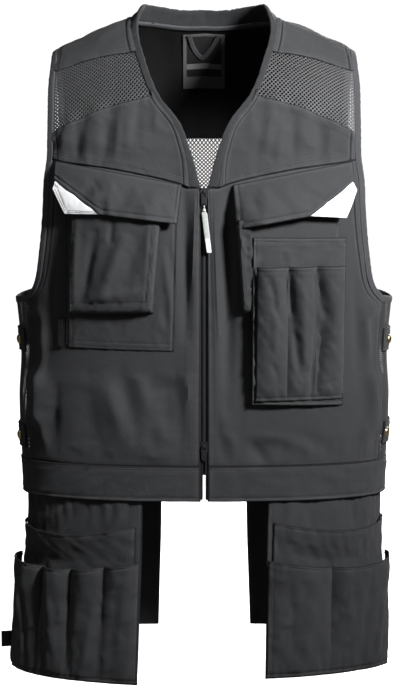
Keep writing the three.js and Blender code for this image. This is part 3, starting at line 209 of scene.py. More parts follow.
def to_run(x, z, rear=False):
    rise = np.minimum(1, (z + SHOULDER_START) / (shoulder_z(x) + SHOULDER_START))
    arch = SHOULDER_RUN * (1 - np.arcsin(np.maximum(rise, 0)) / (np.pi / 2))
    run = np.where(rise > 0, arch, SHOULDER_RUN - z - SHOULDER_START)
    return np.where(rear, run, -run)


def to_round(places):
    point = over_shoulder(places)
    return np.stack([to_angle(point[..., 0], point[..., 2], places[..., 1] > 0), point[..., 2]], -1)


def fold_field(x, z, rows, fade=0.0):
    """Ridges along straight lines: the height times a bell of the distance from the line over its
    width, less a share of fade towards the line's two ends."""
    x0, z0, x1, z1, width, height = np.array(rows, float).T
    run_x, run_z = x1 - x0, z1 - z0
    off_x, off_z = x[..., None] - x0, z[..., None] - z0
    share = np.clip((off_x * run_x + off_z * run_z) / (run_x**2 + run_z**2), 0, 1)
    distance = np.hypot(off_x - share * run_x, off_z - share * run_z)
    ends = 1 - fade + fade * np.sin(np.pi * share)
    return (height * ends * np.exp(-((distance / width) ** 2))).sum(-1)


def rise(t, low, high):
    t = np.clip((t - low) / (high - low), 0, 1)
    return t * t * (3 - 2 * t)


def open_share(x, z, zones=FLAT_ZONES, fade=22.7):
    """Nought in the zones that lie flat, one from the fade's width outside them."""
    share = np.ones(np.shape(x))
    for left, right, top, low in zones:
        aside = np.maximum(np.maximum(left - x, x - right), 0)
        below = np.maximum(np.maximum(z - top, low - z), 0)
        share = share * rise(np.hypot(aside, below), 0, fade)
    return share


def drape(x, z, rear):
    front = fold_field(x, z, FRONT_DRAPE) * open_share(x, z)
    return np.where(rear, fold_field(x, z, BACK_DRAPE), front)


def ripple(a, b, size, seed):
    """Uneven waves about one size long, from -1 to 1: the mean of five sine waves at spread angles,
    each bent by the wave before it."""
    rng = np.random.default_rng(seed)
    total, bend = 0, 0
    for k in range(5):
        angle, phase = rng.uniform(0, 2 * np.pi, 2)
        long = size * (0.7 + 0.2 * k)
        way = (a * np.cos(angle) + b * np.sin(angle)) * 2 * np.pi / long
        wave = np.sin(way + phase + bend)
        bend = 1.3 * wave
        total = total + wave
    return total / 2.6


def body_frame(chart, places, hand=1):
    """Points of the body and their outward directions, from differences of 1 mm or 0.01 radian; hand
    -1 puts them on the wearer's right."""
    places = np.asarray(places, float)
    step = np.array([0.01 if chart is round_body else 1.0, 0])
    tall = np.array([0, 1.0])
    point = chart(places)
    normal = np.cross(
        chart(places + step) - chart(places - step), chart(places + tall) - chart(places - tall)
    )
    normal /= np.maximum(np.linalg.norm(normal, axis=-1, keepdims=True), 1e-9)
    normal *= np.where((normal * (point - CORE)).sum(-1, keepdims=True) < 0, -1, 1)
    turn = np.array([hand, 1, 1])
    return point * turn, normal * turn


def seam_line(places):
    """A curve through the places: each stretch is a cubic whose end slopes weigh the stretches beside
    it by the square roots of their lengths. It is read at shares of its length."""
    p = np.array(places, float)
    p = np.vstack([2 * p[0] - p[1], p, 2 * p[-1] - p[-2]])
    gap = np.sqrt(np.linalg.norm(np.diff(p, axis=0), axis=1))[:, None]
    a, b, c, d = p[:-3], p[1:-2], p[2:-1], p[3:]
    g0, g1, g2 = gap[:-2], gap[1:-1], gap[2:]
    leave = ((b - a) / g0 - (c - a) / (g0 + g1) + (c - b) / g1) * g1
    enter = ((c - b) / g1 - (d - b) / (g1 + g2) + (d - c) / g2) * g1
    t = np.linspace(0, 1, 41)[:, None, None]
    cubic = b + t * leave + t**2 * (3 * (c - b) - 2 * leave - enter)
    cubic = cubic + t**3 * (2 * (b - c) + leave + enter)
    points = np.vstack([cubic[:-1].transpose(1, 0, 2).reshape(-1, 2), p[-2:-1]])
    far = np.r_[0, np.cumsum(np.linalg.norm(np.diff(points, axis=0), axis=1))]
    first = (points[1] - points[0]) / (far[1] - far[0])
    last = (points[-1] - points[-2]) / (far[-1] - far[-2])

    def curve(share):
        along = np.asarray(share, float) * far[-1]
        held = np.stack([np.interp(along, far, points[:, k]) for k in (0, 1)], -1)
        over = np.maximum(along - far[-1], 0)[..., None]
        return held + np.minimum(along, 0)[..., None] * first + over * last

    return curve


def front_places(rows):
    return [(out * HALF_CHEST, -low * BODY_LENGTH) for out, low in rows]


def shoulder_places(rows, rear=False):
    return [(x, float(to_run(x, z, rear))) for x, z in front_places(rows)]


def share_at(edge, wanted):
    shares = np.linspace(0, 1, 4001)
    values = edge(shares)[:, 1]
    if values[-1] < values[0]:
        shares, values = shares[::-1], values[::-1]
    return float(np.interp(wanted, np.maximum.accumulate(values), shares))


def line(start, end):
    start, end = np.asarray(start, float), np.asarray(end, float)
    return lambda t: start + np.asarray(t, float)[..., None] * (end - start)


def backwards(edge):
    return lambda t: edge(1 - np.asarray(t, float))


def joined(first, second, share):
    def edge(t):
        t = np.asarray(t, float)
        early = t[..., None] < share
        return np.where(early, first(t / share), second((t - share) / (1 - share)))

    return edge


def stretch(edge, start, end):
    first, last = share_at(edge, start), share_at(edge, end)
    return lambda t: edge(first + np.asarray(t, float) * (last - first))


def patch(top, bottom, left, right):
    """Fills four edges: the mean ruled between top and bottom, plus the one between left and right,
    less the one between the four corners."""

    def fill(u, v):
        a, b = u[..., None], v[..., None]
        ruled = (1 - b) * top(u) + b * bottom(u) + (1 - a) * left(v) + a * right(v)
        corners = (1 - b) * ((1 - a) * top(0) + a * top(1))
        return ruled - corners - b * ((1 - a) * bottom(0) + a * bottom(1))

    return fill


def spread(length, start, end, inner):
    """Shares of a row: the set millimetres from its start and its end, and even ones between."""
    length = np.asarray(length, float)[..., None]
    start, end = np.array(start, float), np.array(end, float)
    room = 1 - (start[-1] + end[-1]) / length
    middle = start[-1] / length + inner * room
    return np.concatenate([start / length, middle, 1 - end[::-1] / length], -1)


def cloth_grid(chart, fill, hand, step, left=(0,), right=(0,), top=(0,), bottom=(0,)):
    """Rows and columns of points over a piece: at the set distances from each edge, and about one
    step apart between. Also gives each point's distances from the four edges."""
    grid = np.linspace(0, 1, 25)
    coarse = chart(fill(*np.meshgrid(grid, grid)))
    rows = np.linalg.norm(np.diff(coarse, axis=1), axis=2).sum(1)
    columns = np.linalg.norm(np.diff(coarse, axis=0), axis=2).sum(0)
    evenly = []
    for lengths, ends in ((rows, left[-1] + right[-1]), (columns, top[-1] + bottom[-1])):
        count = max(2, int(np.ceil((lengths.max() - ends) / step)))
        evenly.append(np.linspace(0, 1, count + 1)[1:-1])
    wide = np.interp(spread(columns.mean(), top, bottom, evenly[1]), grid, rows)
    tall = np.interp(spread(rows.mean(), left, right, evenly[0]), grid, columns)
    u = spread(wide, left, right, evenly[0])
    v = spread(tall, top, bottom, evenly[1]).T
    point, normal = body_frame(chart, fill(u, v), hand)
    return SimpleNamespace(
        u=u, v=v, point=point, normal=normal, places=fill(u, v), hand=hand,
        x=point[..., 0], z=point[..., 2], rear=point[..., 1] > 0,
        left=u * wide[:, None], right=(1 - u) * wide[:, None],
        top=v * tall, bottom=(1 - v) * tall, size=(rows.max(), columns.max()),
        marks={"left": left, "right": right, "top": top, "bottom": bottom},
    )


def lap(d):
    """The edge of a piece that lies on its neighbour: 0.8 mm higher over the seam allowance, and
    rounded down over its last millimetre."""
    rolled = 1.2 * (1 - np.sqrt(np.clip(1 - (1 - np.clip(d / 1.2, 0, 1)) ** 2, 0, 1)))
    return 0.8 * (1 - rise(d, 9, 13)) - rolled


def tuck(d):
    """The edge of a piece that runs under its neighbour: 1.4 mm lower."""
    return -1.4 * (1 - rise(d, -0.5, 3.5))


def groove(d, at, deep=0.75):
    """A row of stitches: a bell-shaped dent with two lower bells of swollen cloth beside it."""
    beside = np.exp(-(((d - at - 2.6) / 1.4) ** 2)) + np.exp(-(((d - at + 2.6) / 1.4) ** 2))
    return deep * (0.4 * beside - np.exp(-(((d - at) / 1.2) ** 2)))


def pucker(d, along, size, high, seed, reach=12):
    """Small waves that a row of stitches draws up beside it, dying out within reach."""
    return high * ripple(along, d * 0.35, size, seed) * np.exp(-np.maximum(d, 0) / reach)


def grid_normals(points, like):
    normal = np.cross(np.gradient(points, axis=1), np.gradient(points, axis=0))
    normal /= np.maximum(np.linalg.norm(normal, axis=-1, keepdims=True), 1e-9)
    return normal * (-1 if (normal * like).sum() < 0 else 1)


def grid_faces(rows, columns, flip):
    """Quads of a grid of points, row by row, the other way round where flip is set."""
    at = np.arange(rows * columns).reshape(rows, columns)
    quads = np.stack([at[:-1, :-1], at[:-1, 1:], at[1:, 1:], at[1:, :-1]], -1).reshape(-1, 4)
    return quads[:, ::-1] if flip else quads


def close_cloth(front, back, faces):
    """The front faces, the same ones reversed for the back, and a wall along each open edge."""
    count = len(front)
    edges = np.stack([faces, np.roll(faces, -1, axis=1)], -1).reshape(-1, 2)
    open_edges = edges[~np.isin(edges @ [count, 1], edges @ [1, count])]
    a, b = open_edges.T
    walls = np.stack([b, a, a + count, b + count], -1)
    return np.vstack([front, back]), [faces, faces[:, ::-1] + count, walls]


def make_piece(name, points, faces, material, uv=None, edge=None, body="vest", sharp=0.9):
    """One mesh from points in millimetres and arrays of faces, that rides on a body."""
    mesh = bpy.data.meshes.new(name)
    places = (np.asarray(points) * 0.001).tolist()
    mesh.from_pydata(places, [], [face for block in faces for face in block.tolist()])
    corner = np.zeros(len(mesh.loops), np.int32)
    mesh.loops.foreach_get("vertex_index", corner)
    if uv is not None:
        layer = mesh.uv_layers.new(name="cut")
        layer.data.foreach_set("uv", np.asarray(uv, np.float32)[corner].ravel())
    if edge is not None:
        # distance from the nearest edge or seam line: the cloth material turns it into rubbed wear and a
        # painted shade line
        wear_and_shade = mesh.attributes.new("edge_mm", "FLOAT", "POINT")
        wear_and_shade.data.foreach_set("value", np.asarray(edge, np.float32).ravel())
    mesh.shade_smooth()
    mesh.set_sharp_from_angle(angle=sharp)
    mesh.materials.append(material)
    piece = bpy.data.objects.new(name, mesh)
    bpy.context.scene.collection.objects.link(piece)
    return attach(piece, body)


def cloth_piece(name, grid, lift, material, replaces=(), thick=CLOTH, seams=()):
    """A closed sheet: its face is the grid lifted off the body, its back one thickness behind."""
    face = grid.point + grid.normal * lift[..., None]
    out = grid_normals(face, grid.normal)
    back = face - out * thick
    rows, columns = face.shape[:2]
    turned = np.cross(face[:-1, 1:] - face[:-1, :-1], face[1:, :-1] - face[:-1, :-1])
    flip = (turned * grid.normal[:-1, :-1]).sum() < 0
    faces = grid_faces(rows, columns, flip)
    points, blocks = close_cloth(face.reshape(-1, 3), back.reshape(-1, 3), faces)
    uv = np.stack([grid.left, grid.top], -1).reshape(-1, 2) * 0.001
    # distance to the nearest edge or seam line, where the cloth material paints a thin shade line
    near = np.minimum.reduce([grid.left, grid.right, grid.top, grid.bottom, *seams]).ravel()
    piece = make_piece(name, points, blocks, material, np.vstack([uv, uv]), np.r_[near, near])
    if replaces:
        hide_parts(*replaces)
    wide, tall = grid.size
    area = np.linalg.norm(turned, axis=-1).sum()
    area = min(max(area, LEAST_SHARE * wide * tall), wide * tall) * 1e-6
    return SimpleNamespace(piece=piece, face=face, out=out, grid=grid)


def mark_line(cloth, side, mark, start=0, end=None):
    """The row or column of a piece's points that lies the set distance from one of its edges."""
    k = cloth.grid.marks[side].index(mark)
    k = -1 - k if side in ("right", "bottom") else k
    pick = (slice(start, end), k) if side in ("left", "right") else (k, slice(start, end))
    return cloth.face[pick], cloth.out[pick]


def stitch_row(path, every=3.6, long=2.7, wide=0.75, high=0.35):
    """Stitches along a line of points: each is a spindle from one needle hole to the next, four-sided,
    full over its middle and pointed at both ends, half sunk in the cloth."""
    points, out = path
    far = np.r_[0, np.cumsum(np.linalg.norm(np.diff(points, axis=0), axis=1))]
    middle = np.arange(every, far[-1] - every / 2, every)

    def read(at, what):
        return np.stack([np.interp(at, far, what[:, k]) for k in range(3)], -1)

    start, end = read(middle - long / 2, points), read(middle + long / 2, points)
    up = read(middle, out)
    ahead = end - start
    side = np.cross(up, ahead)
    side /= np.maximum(np.linalg.norm(side, axis=1, keepdims=True), 1e-9)
    corners = [start]
    for share in (0.22, 0.78):
        centre = start + ahead * share + up * 0.1
        corners += [centre + side * wide / 2, centre + up * high]
        corners += [centre - side * wide / 2, centre - up * high]
    corners.append(end)
    return np.stack(corners, 1).reshape(-1, 3)


STITCH_TIPS = [(0, 2, 1), (0, 3, 2), (0, 4, 3), (0, 1, 4), (9, 5, 6), (9, 6, 7), (9, 7, 8), (9, 8, 5)]
STITCH_SIDES = [(1, 2, 6, 5), (2, 3, 7, 6), (3, 4, 8, 7), (4, 1, 5, 8)]


def sew(name, rows, material):
    """All the stitches of one piece as one mesh."""
    points = np.vstack(rows)
    first = np.arange(0, len(points), 10)[:, None, None]
    faces = [(first + np.array(t)).reshape(-1, len(t[0])) for t in (STITCH_TIPS, STITCH_SIDES)]
    return make_piece(name, points, faces, material, sharp=3.2)


def add_node(tree, kind, settings=(), inputs=()):
    """One shader node, with its settings, and its inputs set or linked by number or name."""
    node = tree.nodes.new("ShaderNode" + kind)
    for key, value in dict(settings).items():
        setattr(node, key, value)
    for key, value in dict(inputs).items():
        if isinstance(value, bpy.types.NodeSocket):
            tree.links.new(value, node.inputs[key])
        else:
            node.inputs[key].default_value = value
    return node


def maths(tree, operation, first, second=0.0):
    return add_node(tree, "Math", {"operation": operation}, {0: first, 1: second}).outputs[0]


def ranged(tree, value, low, high, to_low, to_high):
    """The value carried from one range to another, and held at its ends."""
    inputs = {0: value, 1: low, 2: high, 3: to_low, 4: to_high}
    return add_node(tree, "MapRange", (), inputs).outputs[0]


def noise(tree, place, scale, detail, **more):
    return add_node(
        tree, "TexNoise", (), {"Vector": place, "Scale": scale, "Detail": detail, **more}
    ).outputs[0]


def effect_group(name, inputs, outputs):
    """An empty node group with named sockets, and its two end nodes."""
    group = bpy.data.node_groups.new(name, "ShaderNodeTree")
    for way, sockets in (("INPUT", inputs), ("OUTPUT", outputs)):
        for label, kind in sockets:
            group.interface.new_socket(name=label, in_out=way, socket_type="NodeSocket" + kind)
    start = group.nodes.new("NodeGroupInput").outputs
    return group, start, group.nodes.new("NodeGroupOutput").inputs


# Twill weave: ribs on the slant, each crossed by floats, as a height in metres and a shade about 1
weave_group, given, made = effect_group(
    "twill_weave", [("Vector", "Vector"), ("Threads", "Float")], [("Height", "Float"), ("Shade", "Float")]
)
scaled = add_node(
    weave_group, "VectorMath", {"operation": "SCALE"}, {0: given["Vector"], 3: given["Threads"]}
)
axes = add_node(weave_group, "SeparateXYZ", (), {0: scaled.outputs[0]}).outputs
slant = maths(weave_group, "MULTIPLY", maths(weave_group, "ADD", axes[0], axes[1]), np.pi)
rib = maths(weave_group, "ABSOLUTE", maths(weave_group, "SINE", slant))
cross = maths(weave_group, "MULTIPLY", maths(weave_group, "SUBTRACT", axes[0], axes[1]), 2 * np.pi)
floats = maths(weave_group, "MULTIPLY", maths(weave_group, "SINE", cross), 0.25)
woven = maths(weave_group, "MULTIPLY", rib, maths(weave_group, "ADD", floats, 0.75))
weave_group.links.new(
    maths(weave_group, "DIVIDE", maths(weave_group, "MULTIPLY", woven, 0.2), given["Threads"]),
    made["Height"]
)
weave_group.links.new(
    maths(weave_group, "ADD", maths(weave_group, "MULTIPLY", woven, 0.22), 0.86), made["Shade"]
)

# Wear of the cloth: cloudy dye, specks of lint and edges rubbed paler, plus painted shade: a dark line along
# each edge and seam line, where a crevice or lap would be in shadow
wear_and_shade_group, given, made = effect_group(
    "cloth_wear_and_edge_shade",
    [("Vector", "Vector"), ("Color", "Color"), ("Edge", "Float"), ("Shade", "Float")],
    [("Color", "Color"), ("Height", "Float")],
)
clouds = noise(wear_and_shade_group, given["Vector"], 11, 4, Roughness=0.55)
tone = ranged(wear_and_shade_group, clouds, 0.3, 0.7, 0.9, 1.1)
fine = noise(wear_and_shade_group, given["Vector"], 420, 2)
lint = ranged(wear_and_shade_group, fine, 0.64, 0.78, 0, 0.5)
patchy = noise(wear_and_shade_group, given["Vector"], 130, 3)
near_edge = ranged(wear_and_shade_group, given["Edge"], 0.9, 1.7, 0, 1)
away = ranged(wear_and_shade_group, given["Edge"], 1.6, 5.5, 0.8, 0)
rubbed = maths(wear_and_shade_group, "MULTIPLY", near_edge, away)
# painted shade: the colour falls to 0.28 within about a millimetre of each edge and seam line
edge_shade = maths(wear_and_shade_group, "ADD", maths(wear_and_shade_group, "MULTIPLY", near_edge, 0.72), 0.28)
rubbed = maths(wear_and_shade_group, "MULTIPLY", rubbed, maths(wear_and_shade_group, "MULTIPLY", patchy, 0.9))
paler = maths(wear_and_shade_group, "ADD", maths(wear_and_shade_group, "ADD", rubbed, lint), 1.0)
whole = maths(wear_and_shade_group, "MULTIPLY", maths(wear_and_shade_group, "MULTIPLY", tone, paler), given["Shade"])
whole = maths(wear_and_shade_group, "MULTIPLY", whole, edge_shade)
dyed = add_node(
    wear_and_shade_group, "VectorMath", {"operation": "SCALE"}, {0: given["Color"], 3: whole}
).outputs[0]
wear_and_shade_group.links.new(dyed, made["Color"])
creases = noise(wear_and_shade_group, given["Vector"], 42, 3, Distortion=0.6)
wear_and_shade_group.links.new(creases, made["Height"])


def new_material(name):
    material = bpy.data.materials.new(name)
    material.use_nodes = True
    return material, material.node_tree, material.node_tree.nodes["Principled BSDF"]


def mix_colors(tree, share, first, second):
    """The first colour, turning to the second as the share goes from nought to one."""
    first, second = (c if isinstance(c, bpy.types.NodeSocket) else (*c, 1) for c in (first, second))
    return add_node(tree, "Mix", {"data_type": "RGBA"}, {0: share, 6: first, 7: second}).outputs[2]


def raise_surface(tree, shader, height, distance, strength=1.0):
    """Bumps the shader's surface: the distance in metres is what a height of one stands out."""
    bump = add_node(tree, "Bump", (), {"Strength": strength, "Distance": distance, "Height": height})
    tree.links.new(bump.outputs[0], shader.inputs["Normal"])


def cloth_material(name, color, roughness, threads, weave=1.0, crumple=0.0012, sheen=0.06):
    """Woven cloth: dye and wear from the object's place, with painted shade along its edges and seam lines,
    weave along the cut, both in the bump.
    """
    material, tree, shader = new_material(name)
    coords = add_node(tree, "TexCoord").outputs
    cut = add_node(tree, "UVMap", {"uv_map": "cut"}).outputs[0]
    woven = tree.nodes.new("ShaderNodeGroup")
    woven.node_tree = weave_group
    tree.links.new(cut, woven.inputs["Vector"])
    woven.inputs["Threads"].default_value = threads
    wear_and_shade = tree.nodes.new("ShaderNodeGroup")
    wear_and_shade.node_tree = wear_and_shade_group
    tree.links.new(coords["Object"], wear_and_shade.inputs["Vector"])
    tree.links.new(
        add_node(tree, "Attribute", {"attribute_name": "edge_mm"}).outputs["Fac"], wear_and_shade.inputs["Edge"]
    )
    tree.links.new(woven.outputs["Shade"], wear_and_shade.inputs["Shade"])
    wear_and_shade.inputs["Color"].default_value = (*color, 1)
    tree.links.new(wear_and_shade.outputs["Color"], shader.inputs["Base Color"])
    low = maths(tree, "MULTIPLY", wear_and_shade.outputs["Height"], crumple)
    high = maths(tree, "ADD", low, maths(tree, "MULTIPLY", woven.outputs["Height"], weave))
    raise_surface(tree, shader, high, 1.0)
    shader.inputs["Roughness"].default_value = roughness
    shader.inputs["Specular IOR Level"].default_value = 0.22
    shader.inputs["Sheen Weight"].default_value = sheen
    shader.inputs["Sheen Roughness"].default_value = 0.5
    return material


twill = cloth_material("charcoal_twill", (0.034, 0.035, 0.0375), 0.8, 1250)


def thread_material(name, color, roughness):
    """Polyester sewing thread: a fine twist along the object's slant, lighter and darker by turns."""
    material, tree, shader = new_material(name)
    place = add_node(tree, "TexCoord").outputs["Object"]
    twist = add_node(
        tree, "TexWave", {"wave_type": "BANDS", "bands_direction": "DIAGONAL"},
        {"Vector": place, "Scale": 900, "Distortion": 1.5}
    )
    light = tuple(min(1, 1.5 * c) for c in color)
    mixed = mix_colors(tree, twist.outputs["Fac"], color, light)
    tree.links.new(mixed, shader.inputs["Base Color"])
    shader.inputs["Roughness"].default_value = roughness
    return material


dark_thread = thread_material("dark_thread", (0.036, 0.037, 0.039), 0.6)


def stitch_along(name, cloth, **marks):
    """Dark stitches at the set distances from the named edges of a piece."""
    rows = [stitch_row(mark_line(cloth, edge, d)) for edge, set_in in marks.items() for d in set_in]
    sew(name, rows, dark_thread)



neck_arc_turns = np.linspace(0, np.pi / 2, 7)
neck_arc_places = [(NECK_HALF * np.cos(t), NECK_BACK * np.sin(t)) for t in neck_arc_turns]
neck_edge = seam_line(shoulder_places(NECK_LINE) + neck_arc_places)
arm_edge = seam_line(shoulder_places(ARM_LINE)[::-1] + shoulder_places(ARM_LINE_BACK, True))
UNDERARM_Z = -ARM_LINE[-1][1] * BODY_LENGTH
BAND_TOP = BAND_HEIGHT - BODY_LENGTH


def cross_seam(rows):
    """A seam from the neck edge to the armhole: its curve, and where it meets each."""
    places = shoulder_places(rows)
    start = neck_edge(share_at(neck_edge, places[0][1]))
    end = arm_edge(share_at(arm_edge, places[-1][1]))
    return seam_line([start, *places[1:-1], end]), start[1], end[1]


chest_seam, chest_neck, chest_arm = cross_seam(CHEST_SEAM)
side_line = seam_line(front_places(SIDE_SEAM))


def side_edge(rear):
    fall = stretch(side_line, UNDERARM_Z, BAND_TOP)

    def edge(t):
        place = fall(t)
        return np.stack([to_angle(place[..., 0], place[..., 1], rear), place[..., 1]], -1)

    return edge


def reread(edge):
    return lambda t: to_round(edge(t))


chest_in = np.array([FRONT_EDGE, chest_seam(0)[1]])
arm_part = stretch(arm_edge, chest_arm, arm_edge(0)[1])
front_outer = joined(reread(arm_part), side_edge(False), 0.5)
band_in = (float(to_angle(FRONT_EDGE, BAND_TOP)), BAND_TOP)
front_inner = line(to_round(chest_in), band_in)
front_top = reread(joined(line(chest_in, chest_seam(0)), chest_seam, 0.1))
front_fill = patch(front_top, line(band_in, front_outer(1)), front_inner, front_outer)
# creases that the weight of the pockets and the waistband draw: from (x, z) to (x, z), width, height
FRONT_CREASES = {
    "right": [
        (-25, -215, -23, -410, 7, -8.0),
        (-12, -232, -13, -390, 4, 2.4),
        (-26, -425, -17, -510, 7, 3.4),
        (-36, -440, -30, -545, 7, -3.0),
        (-89, -446, -45, -560, 11, 4.0),
        (-70, -452, -62, -540, 8, -2.6),
        (-123, -468, -106, -535, 9, 3.4),
        (-108, -450, -84, -550, 9, -3.0),
        (-150, -448, -140, -560, 12, -2.6),
        (-206, -385, -207, -440, 5, 4.5),
        (-207, -440, -217, -500, 5, 4.5),
        (-217, -500, -203, -562, 5, 3.6),
        (-194, -300, -197, -400, 6, -2.6),
        (-190, -470, -196, -560, 7, -3.0),
        (-40, -560, -75, -566, 7, 3.0),
    ],
    "left": [
        (14, -234, 15, -480, 6, 3.4),
        (31, -220, 30, -505, 8, -8.0),
        (48, -400, 44, -520, 9, -3.0),
        (14, -520, 26, -572, 5, -3.4),
        (24, -505, 40, -560, 6, 2.6),
        (60, -545, 80, -574, 6, -3.4),
        (60, -528, 150, -558, 9, 3.0),
        (204, -372, 213, -446, 5, 4.5),
        (213, -446, 219, -520, 5, 4.0),
        (193, -330, 201, -480, 6, -3.0),
        (120, -534, 170, -566, 9, -2.6),
        (206, -520, 212, -566, 6, 2.6),
    ],
}
# the armhole's binding ends this far in, with a painted shade line on the cloth beside it
BINDING_EDGE = 9.6
for side, hand in SIDES:
    grid = cloth_grid(
        round_body, front_fill, hand, 3.6,
        left=(0, 0.4, 1.2, 3, 4.5, 7, 10), right=(-1, 0, 1.2, 3, 5, 7.5, 9.6, 12),
        top=(-4, -0.5, 1, 3.5), bottom=(-6, -1, 1, 3),
    )
    lift = drape(grid.x, grid.z, grid.rear) + lap(grid.left) + groove(grid.left, 3) + groove(grid.left, 7)
    loose = open_share(grid.x, grid.z)
    clear = open_share(grid.x, grid.z, FLAT_ZONES[:2], 10) * rise(grid.left, 2, 12)
    creases = fold_field(grid.x, grid.z, FRONT_CREASES[side], 0.8)
    lift += np.maximum(creases, 0) * clear + np.minimum(creases, 0) * rise(grid.left, 2, 14)
    lift += 0.7 * loose * ripple(grid.x, grid.z * 0.6, 46, 3 + hand)
    lift += (
        pucker(grid.left, grid.z, 13, 0.35, 11 + hand)
        + pucker(grid.bottom, grid.x, 15, 0.9, 21 + hand, 22) * loose
    )
    lift += tuck(grid.top) + tuck(grid.bottom)
    side_lap = np.where(grid.v > 0.5, lap(grid.right), tuck(grid.right))
    lift += side_lap + np.where(grid.v > 0.5, groove(grid.right, 3), 0)
    # the seam distance below paints a shade line beside the armhole binding's edge
    cloth = cloth_piece(
        f"front_{side}", grid, lift, twill, [f"front_panel_{side}"],
        seams=(np.where(grid.v < 0.5, np.abs(grid.right - BINDING_EDGE), 9),),
    )
    rows = [stitch_row(mark_line(cloth, "left", 3)), stitch_row(mark_line(cloth, "left", 7))]
    half = cloth.face.shape[0] // 2 + 4
    rows.append(stitch_row(mark_line(cloth, "right", 3, half)))
    sew(f"front_stitches_{side}", rows, dark_thread)

# CHEST PANELS
# The same twill, between the chest seam and the mesh of the shoulder. Its top edge is eased onto the
# mesh, which leaves soft gathers, and its low edge laps the front panel with two rows of stitches.
mesh_seam, mesh_neck, mesh_arm = cross_seam(MESH_SEAM)
chest_fill = patch(
    mesh_seam, chest_seam, stretch(neck_edge, mesh_neck, chest_neck),
    stretch(arm_edge, mesh_arm, chest_arm)
)
CHEST_GATHERS = {
    "right": [
        (-178, -150, -181, -186, 5, 2.6),
        (-160, -146, -163, -188, 5, -3.0),
        (-148, -142, -150, -194, 6, 3.0),
        (-122, -134, -128, -190, 6, -3.2),
        (-108, -128, -112, -182, 5, 2.8),
        (-84, -118, -88, -165, 6, -2.4),
        (-62, -112, -60, -150, 5, 2.0),
    ],
    "left": [
        (62, -112, 58, -150, 5, 2.0),
        (78, -116, 66, -185, 6, -3.0),
        (100, -124, 92, -194, 6, 3.2),
        (114, -128, 112, -184, 5, -2.8),
        (146, -138, 148, -192, 6, -3.2),
        (158, -144, 160, -188, 5, 2.8),
        (178, -150, 182, -186, 5, 2.8),
    ],
}


def hump(t, power=0.6):
    return np.sin(np.pi * np.clip(t, 0, 1)) ** power


# the collar's foot is seamed on this far from the neck's edge
COLLAR_FOOT = 9
COLLAR_MARKS = (0, 0.4, 1.2, 3, 5, 7, 8.1, 9, 9.9, 11, 13)
for side, hand in SIDES:
    grid = cloth_grid(
        over_shoulder, chest_fill, hand, 3.0,
        left=COLLAR_MARKS, right=(-1, 0, 1.2, 3, 7.5, 9.6, 12), top=(0, 0.4, 1.2, 2.5, 5),
        bottom=(0, 0.4, 1.2, 3, 5, 6.5, 8, 9.5, 11),
    )
    lift = drape(grid.x, grid.z, grid.rear) + 0.75 * fold_field(grid.x, grid.z, CHEST_GATHERS[side], 0.7)
    lift += 0.4 * ripple(grid.x, grid.z, 40, 31 + hand)
    lift += (
        pucker(grid.top, grid.x, 12, 0.7, 41 + hand)
        + pucker(grid.bottom - 6, grid.x, 14, 0.35, 51 + hand, 8)
    )
    lift += lap(grid.top) + lap(grid.bottom) + lap(grid.left) + tuck(grid.right)
    lift += groove(grid.bottom, 6.5) + groove(grid.bottom, 9.5) + groove(grid.top, 2.5)
    lift += 0.8 * hump(grid.left / COLLAR_FOOT) + groove(grid.left, COLLAR_FOOT, 0.6)
    # the seam distances below paint shade lines along the collar's foot and beside the armhole binding
    cloth = cloth_piece(
        f"chest_{side}", grid, lift, twill,
        [f"chest_panel_{side}"],
        seams=(np.abs(grid.left - COLLAR_FOOT) + 0.75, np.abs(grid.right - BINDING_EDGE)),
    )
    stitch_along(f"chest_stitches_{side}", cloth, bottom=(6.5, 9.5), top=(2.5,))

# MESH INSERTS
# Open warp-knit mesh at the front of each shoulder, under each arm and across the back: round threads
# on the slant that leave a diamond hole between four knots. Their edges are caught under the twill.
NET_STEP = 2.6
HOLE_SHARE = 0.62


def net_material(name, color):
    material, tree, shader = new_material(name)
    place = add_node(tree, "TexCoord").outputs["Object"]
    fibres = noise(tree, place, 1400, 2)
    dark = tuple(0.7 * c for c in color)
    light = tuple(1.35 * c for c in color)
    mixed = mix_colors(tree, fibres, dark, light)
    tree.links.new(mixed, shader.inputs["Base Color"])
    raise_surface(tree, shader, fibres, 0.0002)
    shader.inputs["Roughness"].default_value = 0.5
    shader.inputs["Sheen Weight"].default_value = 0.08
    return material


knit = net_material("knit_mesh", (0.038, 0.039, 0.041))
# painted shade: a copy of the knit made slightly darker for the mesh under each arm
shaded_knit = net_material("side_knit_mesh_painted_shade", (0.035, 0.036, 0.038))


def within(points, outline, margin):
    """True for points inside a closed outline, by counting the edges a level line crosses, or nearer
    to it than the margin."""
    a, b = outline, np.roll(outline, -1, axis=0)
    px, py = points[:, 0, None], points[:, 1, None]
    spans = (a[:, 1] > py) != (b[:, 1] > py)
    slope = (b[:, 0] - a[:, 0]) / np.where(b[:, 1] == a[:, 1], 1e-9, b[:, 1] - a[:, 1])
    crossed = (spans & (px < a[:, 0] + (py - a[:, 1]) * slope)).sum(1) % 2 == 1
    run = b - a
    share = ((px - a[:, 0]) * run[:, 0] + (py - a[:, 1]) * run[:, 1]) / np.maximum((run**2).sum(1), 1e-9)
    share = np.clip(share, 0, 1)
    far = np.hypot(px - a[:, 0] - share * run[:, 0], py - a[:, 1] - share * run[:, 1]).min(1)
    return crossed | (far < margin)


